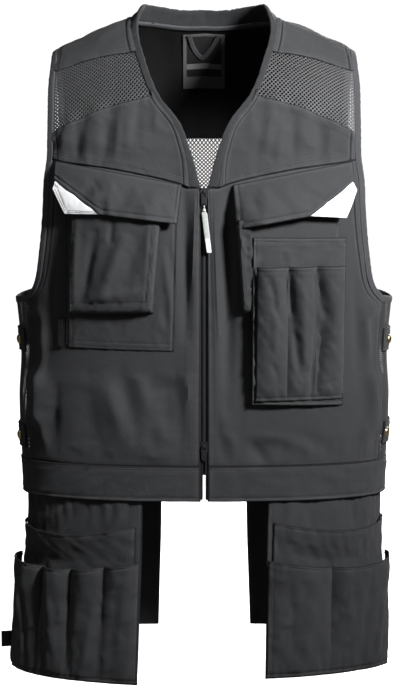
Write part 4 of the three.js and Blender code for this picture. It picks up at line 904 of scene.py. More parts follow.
def net_piece(name, read, outline, hand, replaces, margin, material=knit, tight_from=1000):
    """Diamonds with a diamond hole on a slanted lattice: knots stand 0.3 mm above the hole's rim. read
    turns flat millimetres into points and outward directions of the body. Holes are nearly half as
    wide by the side that tight_from names."""
    low = np.floor(outline.min(0) / NET_STEP).astype(int) - 2
    high = np.ceil(outline.max(0) / NET_STEP).astype(int) + 3
    p, q = np.meshgrid(np.arange(low[0], high[0]), np.arange(low[1], high[1]))
    middle = np.stack([p, q], -1).reshape(-1, 2)
    middle = middle[middle.sum(1) % 2 == 0]
    middle = middle[within(middle * NET_STEP, outline, margin)]
    ways = np.array([(1, 0), (0, 1), (-1, 0), (0, -1)])
    corners = (middle[:, None] + ways).reshape(-1, 2)
    knots, number = np.unique(corners, axis=0, return_inverse=True)
    number = number.reshape(-1, 4)
    hole = HOLE_SHARE * (1 - 0.5 * rise(middle[:, 0] * NET_STEP, tight_from - 12, tight_from - 3))
    rims = (middle[:, None] + hole[:, None, None] * ways).reshape(-1, 2)
    flat = np.vstack([knots, rims]) * NET_STEP
    rim = len(knots) + np.arange(len(rims)).reshape(-1, 4)
    turn = lambda a: np.roll(a, -1, axis=1)
    faces = np.stack([number, turn(number), turn(rim), rim], -1).reshape(-1, 4)
    point, out = read(flat)
    point = point + out * drape(point[:, 0], point[:, 2], point[:, 1] > 0)[:, None]
    knotted = np.r_[np.ones(len(knots)), np.zeros(len(rims))][:, None]
    front = point + out * (knotted * 0.35 - 0.55)
    back = point - out * (knotted * 0.2 + 1.1)
    a, b, c = (front[faces[:, k]] for k in range(3))
    if (np.cross(b - a, c - a) * out[faces[:, 0]]).sum() < 0:
        faces = faces[:, ::-1]
    points, blocks = close_cloth(front, back, faces)
    piece = make_piece(name, points, blocks, material, sharp=3.2)
    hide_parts(*replaces)
    return piece


def rim_of(top, bottom, left, right, count=40):
    """The four edges of a patch as one closed outline."""
    t = np.linspace(0, 1, count, endpoint=False)
    return np.vstack([top(t), right(t), bottom(1 - t), left(1 - t)])


yoke_seam, yoke_neck, yoke_arm = cross_seam(YOKE_SEAM)
outline = rim_of(
    yoke_seam, mesh_seam, stretch(neck_edge, yoke_neck, mesh_neck), stretch(arm_edge, yoke_arm, mesh_arm)
)
for side, hand in SIDES:
    net_piece(
        f"shoulder_net_{side}", lambda flat, hand=hand: body_frame(over_shoulder, flat, hand),
        outline, hand, [f"shoulder_mesh_{side}"], 3.0, tight_from=outline[:, 0].max(),
    )

BACK_YOKE_LOW = 0.257
BACK_MESH_LOW = 0.482
back_yoke_run = float(to_run(0, -BACK_YOKE_LOW * BODY_LENGTH, True))
back_mesh_run = SHOULDER_RUN + BACK_MESH_LOW * BODY_LENGTH - SHOULDER_START
back_yoke_seam = line(arm_edge(share_at(arm_edge, back_yoke_run)), (0, back_yoke_run))
back_mesh_seam = line(arm_edge(share_at(arm_edge, back_mesh_run)), (0, back_mesh_run))


def across_shoulders(half):
    """An edge from the left armhole to the right one: half of it, and the same turned over."""

    def edge(t):
        place = half(1 - np.abs(2 * np.asarray(t, float) - 1))
        return place * np.stack([np.where(np.asarray(t) < 0.5, 1, -1), np.ones(np.shape(t))], -1)

    return edge


def turned_over(edge):
    return lambda t: edge(t) * np.array([-1, 1])


back_net_outer = stretch(arm_edge, back_yoke_run, back_mesh_run)
outline = rim_of(
    across_shoulders(back_yoke_seam), across_shoulders(back_mesh_seam),
    back_net_outer, turned_over(back_net_outer),
)
net_piece(
    "back_net", lambda flat: body_frame(over_shoulder, flat), outline, 1, ["back_mesh"], 3.0
)

UNDERARM_DIP = 5
underarm_front = float(to_angle(ARM_LINE[-1][0] * HALF_CHEST, UNDERARM_Z))
underarm_flat = seam_line([
    (underarm_front * HALF_CHEST, UNDERARM_Z),
    (np.pi / 2 * HALF_CHEST, UNDERARM_Z - UNDERARM_DIP),
    ((np.pi - underarm_front) * HALF_CHEST, UNDERARM_Z),
])


def underarm_edge(t):
    return underarm_flat(t) * np.array([1 / HALF_CHEST, 1])


# the side mesh is laid out flat by the body's girth at this height
SIDE_LEVEL = -470.0
side_angles = np.linspace(0.9, np.pi - 0.9, 401)
level = round_body(np.stack([side_angles, np.full(len(side_angles), SIDE_LEVEL)], -1))
side_far = np.r_[0, np.cumsum(np.linalg.norm(np.diff(level, axis=0), axis=1))]
front_side, rear_side = side_edge(False), side_edge(True)
outline = rim_of(underarm_edge, line(front_side(1), rear_side(1)), front_side, rear_side)
outline[:, 0] = np.interp(outline[:, 0], side_angles, side_far)
for side, hand in SIDES:

    def read_side(flat, hand=hand):
        angle = np.interp(flat[:, 0], side_far, side_angles)
        return body_frame(round_body, np.stack([angle, flat[:, 1]], -1), hand)

    net_piece(
        f"side_net_{side}", read_side, outline, hand, [f"side_mesh_{side}"], 4.0,
        shaded_knit
    )

# YOKES
# Twill over the top of each shoulder, in one with the collar's foot, and a back yoke behind them. Each
# laps the mesh below it and is stitched close to its edge.
arc_run = NECK_BACK * np.sin(0.7)
shoulder_seam = line(
    neck_edge(share_at(neck_edge, arc_run)), arm_edge(share_at(arm_edge, BACK_SEAM_RUN))
)
yoke_fill = patch(
    yoke_seam, shoulder_seam, stretch(neck_edge, yoke_neck, arc_run),
    stretch(arm_edge, yoke_arm, BACK_SEAM_RUN)
)
for side, hand in SIDES:
    grid = cloth_grid(
        over_shoulder, yoke_fill, hand, 4.0,
        left=COLLAR_MARKS, right=(-1, 0, 1.2, 3, 7.5, 9.6, 12), top=(0, 0.4, 1.2, 2.5, 5, 7, 9),
        bottom=(0, 0.4, 1.2, 2.5, 5),
    )
    lift = drape(grid.x, grid.z, grid.rear) + 0.8 * ripple(grid.x, grid.places[..., 1], 55, 61 + hand)
    lift += (
        pucker(grid.top, grid.x, 13, 0.4, 71 + hand) + lap(grid.top) + lap(grid.bottom) + lap(grid.left)
    )
    lift += tuck(grid.right) + groove(grid.top, 2.5) + groove(grid.top, 7) + groove(grid.bottom, 2.5)
    lift += 0.8 * hump(grid.left / COLLAR_FOOT) + groove(grid.left, COLLAR_FOOT, 0.6)
    # the seam distances below paint shade lines along the collar's foot and beside the armhole binding
    cloth = cloth_piece(
        f"yoke_{side}", grid, lift, twill, [f"shoulder_yoke_{side}"],
        seams=(np.abs(grid.left - COLLAR_FOOT), np.abs(grid.right - BINDING_EDGE)),
    )
    stitch_along(f"yoke_stitches_{side}", cloth, top=(2.5, 7), bottom=(2.5,))

back_top_half = joined(backwards(shoulder_seam), stretch(neck_edge, arc_run, NECK_BACK), 0.4)
back_top_outer = stretch(arm_edge, BACK_SEAM_RUN, back_yoke_run)
back_top_fill = patch(
    across_shoulders(back_top_half), across_shoulders(back_yoke_seam), back_top_outer,
    turned_over(back_top_outer)
)
grid = cloth_grid(
    over_shoulder, back_top_fill, 1, 5.0,
    left=(-1, 0, 1.2, 3), right=(-1, 0, 1.2, 3), top=(-3, -0.5, 1, 3), bottom=(0, 0.4, 1.2, 2.5, 5, 7, 9),
)
lift = 0.8 * ripple(grid.x, grid.places[..., 1], 60, 81) + pucker(grid.bottom, grid.x, 14, 0.4, 82)
lift += tuck(grid.top) + lap(grid.bottom) + tuck(grid.left) + tuck(grid.right)
lift += groove(grid.bottom, 2.5) + groove(grid.bottom, 7)
cloth = cloth_piece(
    "back_top", grid, lift, twill, ["back_yoke"]
)
stitch_along("back_top_stitches", cloth, bottom=(2.5, 7))

# Smooth black lining inside the back yoke, eased so that it hangs in soft upright folds
black_lining = cloth_material("black_lining", (0.003, 0.003, 0.0034), 0.8, 2600, 0.5, 0.0008, 0)
grid = cloth_grid(
    over_shoulder, back_top_fill, 1, 5.0,
    left=(0, 3), right=(0, 3), top=(-3, -1, 0, 3), bottom=(-1.5, 0, 3),
)
folds = np.sin(grid.x / 7.5 + 1.2 * np.sin(grid.x / 23)) * rise(grid.top, 0, 40)
eased = rise(grid.left, 0, 25) * rise(grid.right, 0, 25) * (0.3 + 0.7 * rise(np.abs(grid.x), 26, 50))
lift = -CLOTH - 1.7 - 1.3 * (1 + folds) * eased
cloth_piece(
    "yoke_lining_cloth", grid, lift, black_lining, ["yoke_lining"], 0.8
)

# BACK PANEL
# One piece of twill from the back mesh down to the waistband, seamed to the side mesh. It hangs
# in a few long folds.
back_arm = stretch(arm_edge, back_mesh_run, arm_edge(1)[1])
back_outer = joined(reread(back_arm), side_edge(True), 0.25)


def round_back(half):
    def edge(t):
        t = np.asarray(t, float)
        place = half(1 - np.abs(2 * t - 1))
        angle = np.where(t < 0.5, place[..., 0], 2 * np.pi - place[..., 0])
        return np.stack([angle, place[..., 1]], -1)

    return edge


def other_side(edge):
    return lambda t: edge(t) * np.array([-1, 1]) + np.array([2 * np.pi, 0])


back_fill = patch(
    round_back(reread(back_mesh_seam)), round_back(line(back_outer(1), (np.pi, BAND_TOP))),
    back_outer, other_side(back_outer),
)
grid = cloth_grid(
    round_body, back_fill, 1, 5.0,
    left=(0, 0.4, 1.2, 3, 5), right=(0, 0.4, 1.2, 3, 5), top=(0, 0.4, 1.2, 2.5, 5, 7, 9),
    bottom=(-6, -1, 1, 3),
)
lift = drape(grid.x, grid.z, grid.rear) + 0.9 * ripple(grid.x, grid.z * 0.5, 60, 91)
lift += pucker(grid.bottom, grid.x, 16, 1.0, 92, 25) + pucker(grid.top, grid.x, 14, 0.4, 93)
lift += lap(grid.top) + tuck(grid.bottom) + lap(grid.left) + lap(grid.right)
lift += groove(grid.top, 2.5) + groove(grid.top, 7) + groove(grid.left, 3) + groove(grid.right, 3)
cloth = cloth_piece("back_low", grid, lift, twill, ["back_panel"])
stitch_along("back_stitches", cloth, top=(2.5, 7), left=(3,), right=(3,))

# WAISTBAND
# Twill folded double round a stiffener, sewn over the raw edges of the panels with two rows of
# stitches at its top and one near its hem. It is open at the zip.
BAND_OUT = 1.3
BAND_THICK = 3.2
band_front_low = (float(to_angle(FRONT_EDGE, -BODY_LENGTH)), -BODY_LENGTH)
band_front = patch(
    line(band_in, (np.pi / 2, BAND_TOP)), line(band_front_low, (np.pi / 2, -BODY_LENGTH)),
    line(band_in, band_front_low), line((np.pi / 2, BAND_TOP), (np.pi / 2, -BODY_LENGTH)),
)
band_back = patch(
    line((np.pi / 2, BAND_TOP), (3 * np.pi / 2, BAND_TOP)),
    line((np.pi / 2, -BODY_LENGTH), (3 * np.pi / 2, -BODY_LENGTH)),
    line((np.pi / 2, BAND_TOP), (np.pi / 2, -BODY_LENGTH)),
    line((3 * np.pi / 2, BAND_TOP), (3 * np.pi / 2, -BODY_LENGTH)),
)


def rolled(d, deep, radius):
    """A folded edge: down by deep along a quarter of an ellipse over its last radius."""
    return -deep * (1 - np.sqrt(np.clip(1 - (1 - np.clip(d / radius, 0, 1)) ** 2, 0, 1)))


for name, fill, hand, node in (
    ("band_right", band_front, -1, "waistband_right"),
    ("band_left", band_front, 1, "waistband_left"),
    ("band_back", band_back, 1, "waistband_back"),
):
    grid = cloth_grid(
        round_body, fill, hand, 4.0,
        left=(0, 0.3, 0.9, 1.8, 3), right=(0, 0.5, 1.5), top=(0, 0.3, 0.9, 1.8, 3, 4.5, 6, 8),
        bottom=(0, 0.3, 0.9, 1.8, 3, 4.5, 6),
    )
    lift = (
        BAND_OUT
        + 0.5 * ripple(grid.x, grid.z, 34, 101 + hand) * rise(np.minimum(grid.left, grid.right), 0, 20)
    )
    lift += (
        pucker(grid.top, grid.x, 12, 0.4, 103 + hand) + pucker(grid.bottom, grid.x, 12, 0.5, 105 + hand)
    )
    lift += (
        rolled(grid.top, 1.3, 1.2) + rolled(grid.bottom, 1.6, 1.8) + groove(grid.top, 3)
        + groove(grid.top, 6)
    )
    lift += groove(grid.bottom, 4.5)
    if name != "band_back":
        lift += rolled(grid.left, 1.4, 1.4)
    cloth = cloth_piece(
        name, grid, lift, twill, [node],
        BAND_THICK
    )
    stitch_along(f"{name}_stitches", cloth, top=(3, 6), bottom=(4.5,))

# COLLAR
# A facing of darker cloth runs up the V of the neck and turns into a soft standing collar. Rows of
# stitches quilt its back, and a rolled piping binds the top edge of the lining inside it.
COLLAR_HEIGHT = 19
COLLAR_LEAN = 21
COLLAR_THICK = 4.6
COLLAR_SUNK = 3
# share of the way from the V to the nape, then shares of the lean and of the height
COLLAR_ROWS = np.array([
    (0.0, 0.66, 0.0), (0.1, 0.42, 0.04), (0.25, 0.32, 0.12), (0.42, 0.34, 0.2), (0.54, 0.36, 0.36),
    (0.6, 0.52, 0.68), (0.66, 0.74, 0.94), (0.73, 0.8, 1.0), (0.84, 0.55, 1.08), (1.0, 0.2, 1.2),
])
lean_curve = smooth_table(COLLAR_ROWS[:, 0], COLLAR_ROWS[:, 1])
stand_curve = smooth_table(COLLAR_ROWS[:, 0], COLLAR_ROWS[:, 2])


def unit(vectors):
    return vectors / np.maximum(np.linalg.norm(vectors, axis=-1, keepdims=True), 1e-9)


def facing_out(points, blocks):
    """Turns the faces round where the volume they enclose comes out negative."""
    volume = 0
    for faces in blocks:
        for k in range(1, faces.shape[1] - 1):
            a, b, c = points[faces[:, 0]], points[faces[:, k]], points[faces[:, k + 1]]
            volume += (a * np.cross(b, c)).sum()
    return [faces[:, ::-1] for faces in blocks] if volume < 0 else blocks


def bar_piece(name, corners, material, closed=False, power=0.6, turns=20, relief=None, body="vest"):
    """A bar carried along a row of four-cornered sections: each holds a superellipse, whose cosine and
    sine are raised to the power, blended between the corners. relief swells it from its middle."""
    angle = np.linspace(0, 2 * np.pi, turns, endpoint=False)
    across = 0.5 + 0.5 * np.sign(np.cos(angle)) * np.abs(np.cos(angle)) ** power
    up = 0.5 + 0.5 * np.sign(np.sin(angle)) * np.abs(np.sin(angle)) ** power
    weights = np.stack([(1 - across) * (1 - up), across * (1 - up), across * up, (1 - across) * up], -1)
    rings = np.einsum("kc,ncd->nkd", weights, corners)
    middle = corners.mean(1)
    far = np.r_[0, np.cumsum(np.linalg.norm(np.diff(middle, axis=0), axis=1))]
    if relief is not None:
        rings = rings + unit(rings - middle[:, None]) * relief(far[:, None], across, up)[..., None]
    count = len(rings)
    at = np.arange(count * turns).reshape(count, turns)
    at = np.hstack([at, at[:, :1]])
    at = np.vstack([at, at[:1]]) if closed else at
    blocks = [np.stack([at[:-1, :-1], at[:-1, 1:], at[1:, 1:], at[1:, :-1]], -1).reshape(-1, 4)]
    points = rings.reshape(-1, 3)
    wide = np.linalg.norm(corners[:, 1] - corners[:, 0], axis=1)
    uv = np.stack(np.broadcast_arrays(far[:, None], across * wide[:, None]), -1).reshape(-1, 2) / 1000
    edge = (2.4 + np.minimum(across, 1 - across) * wide[:, None]).ravel()
    if not closed:
        ends = []
        for k, (ring, turn) in enumerate(((at[0], 1), (at[-1], -1))):
            hub = np.full(turns, len(points) + k)
            ends.append(np.stack([hub, ring[1:], ring[:-1]][::turn], -1))
        blocks += ends
        points = np.vstack([points, middle[[0, -1]]])
        uv = np.vstack([uv, uv[[0, -1]]])
        edge = np.r_[edge, 3, 3]
    piece = make_piece(name, points, facing_out(points, blocks), material, uv, edge, body)
    round_size = np.linalg.norm(np.diff(rings, axis=1, append=rings[:, :1]), axis=2).sum(1).mean()
    return piece, far[-1] / 1000, round_size / 2000


def tape_sheet(replaces=()):
    """Hides the CAD parts that a folded or flat tape takes the place of."""
    if replaces:
        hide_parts(*replaces)


def collar_sections(t, hand):
    """Foot and tip of the collar: the tip leans inwards and stands up by the table's shares."""
    place = neck_edge(t)
    point, normal = body_frame(over_shoulder, place, hand)
    after = body_frame(over_shoulder, neck_edge(np.minimum(1, t + 0.01)), hand)[0]
    before = body_frame(over_shoulder, neck_edge(np.maximum(0, t - 0.01)), hand)[0]
    behind = np.stack([-hand * place[:, 0] / NECK_HALF, -place[:, 1] / NECK_BACK, 0 * t], -1)
    ahead = np.stack([np.full(len(t), -hand), 0 * t, 0 * t], -1)
    lean = np.where(place[:, 1:] > 0, unit(behind), ahead)
    reach = lean * (COLLAR_LEAN * lean_curve(t))[:, None]
    reach[:, 2] = COLLAR_HEIGHT * stand_curve(t)
    across = unit(np.cross(after - before, reach)) * COLLAR_THICK / 2
    across *= np.where((across * normal).sum(-1, keepdims=True) < 0, -1, 1)
    foot = point - normal * 0.8 + unit(reach) * (stand_curve(t)[:, None] * 0.8 - 0.8)
    tip = foot + reach
    foot = foot - unit(reach) * (COLLAR_SUNK * np.sqrt(stand_curve(t).clip(0))[:, None])
    return np.stack([foot + across, tip + across, tip - across, foot - across], 1)


shares = 0.004 + 0.996 * np.linspace(0, 1, 130)
right_half, left_half = collar_sections(shares, -1), collar_sections(shares[:-1], 1)[::-1]
collar_corners = np.concatenate([right_half, left_half])
collar_stand = np.concatenate([stand_curve(shares), stand_curve(shares[:-1])[::-1]])[:, None]


def collar_relief(far, across, up):
    """Quilted rows between stitches at the back, and uneven puckers along the whole collar."""
    quilt = 0.9 * np.cos(2 * np.pi * (across * 2 + 0.5)) * rise(collar_stand, 0.5, 1)
    middle = far.max() / 2
    for joint in (-40, 30, 36):
        slant = far - middle - joint - 6 * across
        quilt = quilt - 1.1 * np.exp(-((slant / 1.1) ** 2))
    return quilt + 0.3 * ripple(far, across * 14, 17, 111) + 0.25 * ripple(far, 0 * across, 6, 112)


dark_cloth = cloth_material("dark_facing", (0.024, 0.025, 0.027), 0.8, 1250)
piece, long, wide = bar_piece(
    "collar", collar_corners, dark_cloth, power=0.5, turns=36, relief=collar_relief
)
tape_sheet(["neck_band"])


def strip_corners(point, normal, aside, width, thick, depth):
    """A flat strip beside a path: its width lies in the cloth, its thickness across it."""
    inner = point + normal * depth
    return np.stack([
        inner, inner + aside * width, inner + aside * width + normal * thick, inner + normal * thick
    ], 1)


binding_cloth = cloth_material("grey_binding", (0.05, 0.051, 0.055), 0.78, 1500, 1.3)
PIPING_SHIFT = np.array([0, -3.6, 3.2])
turns = np.pi * np.linspace(0.03, 0.97, 100)
arc_places = np.stack([NECK_HALF * np.cos(turns), NECK_BACK * np.sin(turns)], -1)
point, normal = body_frame(over_shoulder, arc_places)
aside = unit(np.cross(normal, np.gradient(point, axis=0)))
aside *= np.where(aside[:, 1:2] < 0, -1, 1)
PIPING_DEPTH = -1.6 - 1.2 - 1.0 - 2.6 - 0.4
point = point + PIPING_SHIFT * np.sin(turns)[:, None] ** 2
piece, long, wide = bar_piece(
    "collar_piping", strip_corners(point, normal, aside, 7, 4.2, PIPING_DEPTH), binding_cloth,
    power=0.75, relief=lambda far, across, up: 0.15 * np.sin(far * 2.2 + across * 3),
)
tape_sheet(["neck_piping"])

# ARMHOLE BINDINGS
# Woven tape folded over the raw edge all round each armhole, and stitched through along its outer
# side. Its two ends meet under the arm.
BIND_WIDTH = 8.5
BIND_THICK = 3.4
arm_shares = np.linspace(0, 1, 220)
for side, hand in SIDES:
    over, over_normal = body_frame(over_shoulder, arm_edge(arm_shares), hand)
    under = underarm_edge(1 - np.linspace(0, 1, 40)[1:-1])
    low, low_normal = body_frame(round_body, under, hand)
    point, normal = np.vstack([over, low]), np.vstack([over_normal, low_normal])
    middle = np.array([hand * HALF_CHEST * 0.87, 0, -0.32 * BODY_LENGTH])
    ahead = np.roll(point, -1, axis=0) - np.roll(point, 1, axis=0)
    aside = unit(np.cross(ahead, normal))
    aside *= np.where((aside * (middle - point)).sum(-1, keepdims=True) < 0, -1, 1)
    point = point + normal * drape(point[:, 0], point[:, 2], point[:, 1] > 0)[:, None]
    corners = strip_corners(point - aside * 0.2, normal, aside, BIND_WIDTH + 0.3, BIND_THICK, -2.5)

    def binding_relief(far, across, up, hand=hand):
        puckers = 0.22 * ripple(far, across * 5, 9, 120 + hand)
        return puckers - 0.35 * np.exp(-(((across - 0.2) / 0.09) ** 2))

    piece, long, wide = bar_piece(
        f"armhole_edge_{side}", corners, binding_cloth, closed=True, power=0.62, turns=24,
        relief=binding_relief,
    )
    tape_sheet([f"armhole_binding_{side}"])
    seam = point + aside * (BIND_WIDTH * 0.2) + normal * 0.55
    rows = [stitch_row((seam, normal), 3.4, 2.4, 0.5, 0.4)]
    sew(f"armhole_stitches_{side}", rows, dark_thread)

# NECK PATCH AND HANGER
# A woven patch, left bare, sewn to the lining below the piping, with a loop of narrow tape over it
# for a coat hook.
PATCH_WIDE = 56
PATCH_TALL = 74
PATCH_TOP = NECK_BACK + 8
PATCH_FACE = -5.6


def label_material(name, frame_color, field_color, strip_color):
    """A frame round a darker field with one paler strip across its lower part, woven fine."""
    material = cloth_material(name, field_color, 0.6, 3200, 0.6, 0.0005)
    tree = material.node_tree
    shader = tree.nodes["Principled BSDF"]
    cut = add_node(tree, "UVMap", {"uv_map": "cut"}).outputs[0]
    place = add_node(tree, "SeparateXYZ", (), {0: cut}).outputs
    beside = maths(tree, "ABSOLUTE", maths(tree, "SUBTRACT", place[0], PATCH_WIDE / 2000))
    under = maths(tree, "ABSOLUTE", maths(tree, "SUBTRACT", place[1], PATCH_TALL / 2000))
    out_side = maths(tree, "GREATER_THAN", beside, PATCH_WIDE / 2000 - 0.0045)
    out_end = maths(tree, "GREATER_THAN", under, PATCH_TALL / 2000 - 0.0045)
    in_frame = maths(tree, "MAXIMUM", out_side, out_end)
    in_strip = maths(
        tree, "LESS_THAN", maths(tree, "ABSOLUTE", maths(tree, "SUBTRACT", place[1], 0.055)), 0.004
    )
    first = mix_colors(tree, in_strip, field_color, strip_color)
    both = mix_colors(tree, in_frame, first, frame_color)
    tree.links.new(both, shader.inputs["Base Color"])
    return material


label_cloth = label_material(
    "woven_patch", (0.09, 0.09, 0.095), (0.012, 0.012, 0.013), (0.16, 0.16, 0.165)
)
patch_fill = lambda u, v: np.stack([PATCH_WIDE / 2 * (1 - 2 * u), PATCH_TOP + v * PATCH_TALL], -1)
grid = cloth_grid(over_shoulder, patch_fill, 1, 3.0, left=(0, 1), right=(0, 1), top=(0, 1), bottom=(0, 1))
lift = PATCH_FACE + 0.2 * ripple(grid.x, grid.z, 30, 131)
cloth_piece(
    "neck_patch", grid, lift, label_cloth, ["neck_label"], 0.8
)

LOOP_PLACES = [(-20, 0), (-13.6, 22.3), (-2.4, 36), (10.4, 21.6), (20, 0)]
loop_path = seam_line([(x, PATCH_TOP + run) for x, run in LOOP_PLACES])
point, normal = body_frame(over_shoulder, loop_path(np.linspace(0, 1, 70)))
aside = unit(np.cross(np.gradient(point, axis=0), normal))
corners = strip_corners(point - aside * 3, normal, aside, 6, 1.2, PATCH_FACE - 1.0 - 0.4 - 1.2)
piece, long, wide = bar_piece(
    "hanger_tapes", corners, binding_cloth, power=0.35, turns=16,
    relief=lambda far, across, up: 0.1 * np.sin(across * 2 * np.pi * 3 + 0 * far),
)
tape_sheet(["hanger_loop"])

# ZIP
# Two woven tapes sewn behind the fronts' folded edges, with moulded teeth that lock along the
# middle. Two lacquered sliders meet them; below the lower one the teeth part.
ZIP_TOP = -NECK_LINE[0][1] * BODY_LENGTH
LOW_SLIDER = -0.8842 * BODY_LENGTH
ZIP_FACE = -2.7
ZIP_MIDDLE = 0.3
ZIP_PARTING = 1.4
TAPE_WIDTH = 13
TOOTH_PITCH = 2.5
zip_tape = cloth_material("zip_tape", (0.018, 0.018, 0.02), 0.7, 1900, 1.4, 0.0004)


def tooth_material(name, color):
    """Moulded resin: satin, with a fine drag of the mould across it."""
    material, tree, shader = new_material(name)
    place = add_node(tree, "TexCoord").outputs["Object"]
    grain = noise(tree, place, 900, 3)
    tone = ranged(tree, grain, 0.3, 0.7, 0.28, 0.46)
    tree.links.new(tone, shader.inputs["Roughness"])
    pale = tuple(1.5 * c for c in color)
    mixed = mix_colors(tree, grain, color, pale)
    tree.links.new(mixed, shader.inputs["Base Color"])
    raise_surface(tree, shader, grain, 0.00006)
    return material


resin = tooth_material("black_resin", (0.02, 0.02, 0.022))
for side, hand in SIDES:

    def tape_fill(u, v):
        z = ZIP_TOP - 7.8 + v * (2 - BODY_LENGTH - ZIP_TOP + 7.8)
        start = ZIP_MIDDLE + ZIP_PARTING * rise(LOW_SLIDER - z, 0, 8)
        return np.stack([start + u * (TAPE_WIDTH - start), z], -1)

    grid = cloth_grid(
        front_view, tape_fill, hand, 3.0, left=(0, 1, 2), right=(0, 1), top=(0, 2), bottom=(0, 2)
    )
    lift = ZIP_FACE + 0.12 * ripple(grid.x, grid.z, 18, 140 + hand)
    cloth_piece(
        f"zip_tape_{side}", grid, lift, zip_tape,
        [f"zip_half_{side}"], 1.1
    )
    z = np.arange(ZIP_TOP - 9, 4 - BODY_LENGTH, -TOOTH_PITCH) - TOOTH_PITCH / 2 * (hand > 0)
    parted = z < LOW_SLIDER
    inner = np.where(parted, ZIP_MIDDLE + ZIP_PARTING - 0.4, -0.75)
    outer = np.where(parted, ZIP_MIDDLE + ZIP_PARTING + 2.2, 2.4)
    corners = []
    for out, tall in ((inner, 0.62), (outer, 0.5)):
        for level in (1, -1):
            point, normal = body_frame(front_view, np.stack([np.abs(out), z + level * tall], -1), hand)
            point[:, 0] = hand * out
            corners += [
                point + normal * (ZIP_FACE - 0.3), point + normal * (-0.4 if out is inner else -0.7)
            ]
    points = np.stack(corners, 1)
    first = np.arange(0, len(z) * 8, 8)[:, None, None]
    sides = np.array([(0, 1, 3, 2), (4, 6, 7, 5), (0, 4, 5, 1), (2, 3, 7, 6), (1, 5, 7, 3), (0, 2, 6, 4)])
    faces = [(first + sides).reshape(-1, 4)]
    flat_points = points.reshape(-1, 3)
    make_piece(f"zip_teeth_{side}", flat_points, facing_out(flat_points, faces), resin, sharp=0.4)


def lacquer_material(name, color, bare):
    """Black lacquer over brass: small chips where it is knocked, and fine scratches."""
    material, tree, shader = new_material(name)
    place = add_node(tree, "TexCoord").outputs["Object"]
    spots = noise(tree, place, 620, 4, Roughness=0.7)
    chips = ranged(tree, spots, 0.66, 0.7, 0, 1)
    mixed = mix_colors(tree, chips, color, bare)
    tree.links.new(mixed, shader.inputs["Base Color"])
    tree.links.new(chips, shader.inputs["Metallic"])
    rough = ranged(tree, spots, 0.3, 0.7, 0.16, 0.42)
    tree.links.new(rough, shader.inputs["Roughness"])
    raise_surface(tree, shader, spots, 0.00005)
    shader.inputs["Coat Weight"].default_value = 0.4
    return material


lacquer = lacquer_material("black_lacquer", (0.016, 0.016, 0.018), (0.5, 0.42, 0.24))


def set_material(node, material):
    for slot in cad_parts[node].material_slots:
        slot.material = material


for node in ("slider_top", "slider_bottom", "pull_tab_top", "pull_tab_bottom"):
    set_material(node, lacquer)

# Pull: a loop of cord through the tab, its knot, and a moulded grip, ribbed above and plain below
PULL_BACK = -2.85
END_BAR = -17.3
GRIP_LONG = 52
GRIP_TILT = 0.12
stand_z = ZIP_TOP - 6.5
stand_depth = float(body_depth(stand_z, False))
stand_turn = float(np.arctan2(body_depth(stand_z - 5, False) - body_depth(stand_z + 5, False), 10))


def hang_from_slider(points):
    """Local places of the pull, turned by the slope of the chest and moved to the upper slider."""
    x, y, z = points[..., 0], points[..., 1] + PULL_BACK, points[..., 2]
    cos, sin = np.cos(stand_turn), np.sin(stand_turn)
    return np.stack([x, y * cos - z * sin + stand_depth, y * sin + z * cos + stand_z], -1)


def grip_material(name, upper, lower):
    material, tree, shader = new_material(name)
    cut = add_node(tree, "UVMap", {"uv_map": "cut"}).outputs[0]
    along = add_node(tree, "SeparateXYZ", (), {0: cut}).outputs[0]
    low = ranged(tree, along, 0.0335, 0.034, 0, 1)
    place = add_node(tree, "TexCoord").outputs["Object"]
    grime = noise(tree, place, 260, 4)
    shade = ranged(tree, grime, 0.35, 0.7, 1.05, 0.82)
    mixed = mix_colors(tree, low, upper, lower)
    dirty = add_node(tree, "VectorMath", {"operation": "SCALE"}, {0: mixed, 3: shade})
    tree.links.new(dirty.outputs[0], shader.inputs["Base Color"])
    raise_surface(tree, shader, grime, 0.00008)
    shader.inputs["Roughness"].default_value = 0.5
    return material


grip_rubber = grip_material("grip_rubber", (0.36, 0.38, 0.37), (0.72, 0.73, 0.72))
down = np.concatenate(
    [
        np.linspace(0, 2, 8), np.linspace(2.3, GRIP_LONG - 2.3, 190),
        np.linspace(GRIP_LONG - 2, GRIP_LONG, 8)
    ]
)
ends = np.sqrt(np.clip(1 - (1 - np.clip(np.minimum(down, GRIP_LONG - down) / 2, 0, 1)) ** 2, 0.02, 1))
ribs = 0.28 * np.abs(np.sin(down * np.pi / 2.6)) * rise(down, 2, 5) * (1 - rise(down, 31, 33))
half_wide = 3.6 * (0.55 + 0.45 * ends) * (1 - 0.12 * rise(down, 30, 36))
half_deep = (0.95 + ribs) * ends
low_end = END_BAR - 1.4 - 5.2
corners = []
for way_x, way_y in ((-1, 1), (1, 1), (1, -1), (-1, -1)):
    x = way_x * half_wide * np.cos(GRIP_TILT) + down * np.sin(GRIP_TILT)
    corners.append(np.stack([x, way_y * half_deep, low_end - down * np.cos(GRIP_TILT)], -1))
piece, *_ = bar_piece(
    "pull_grip", hang_from_slider(np.stack(corners, 1)), grip_rubber, power=0.5,
    body="upper_pull"
)
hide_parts("pull_strip")

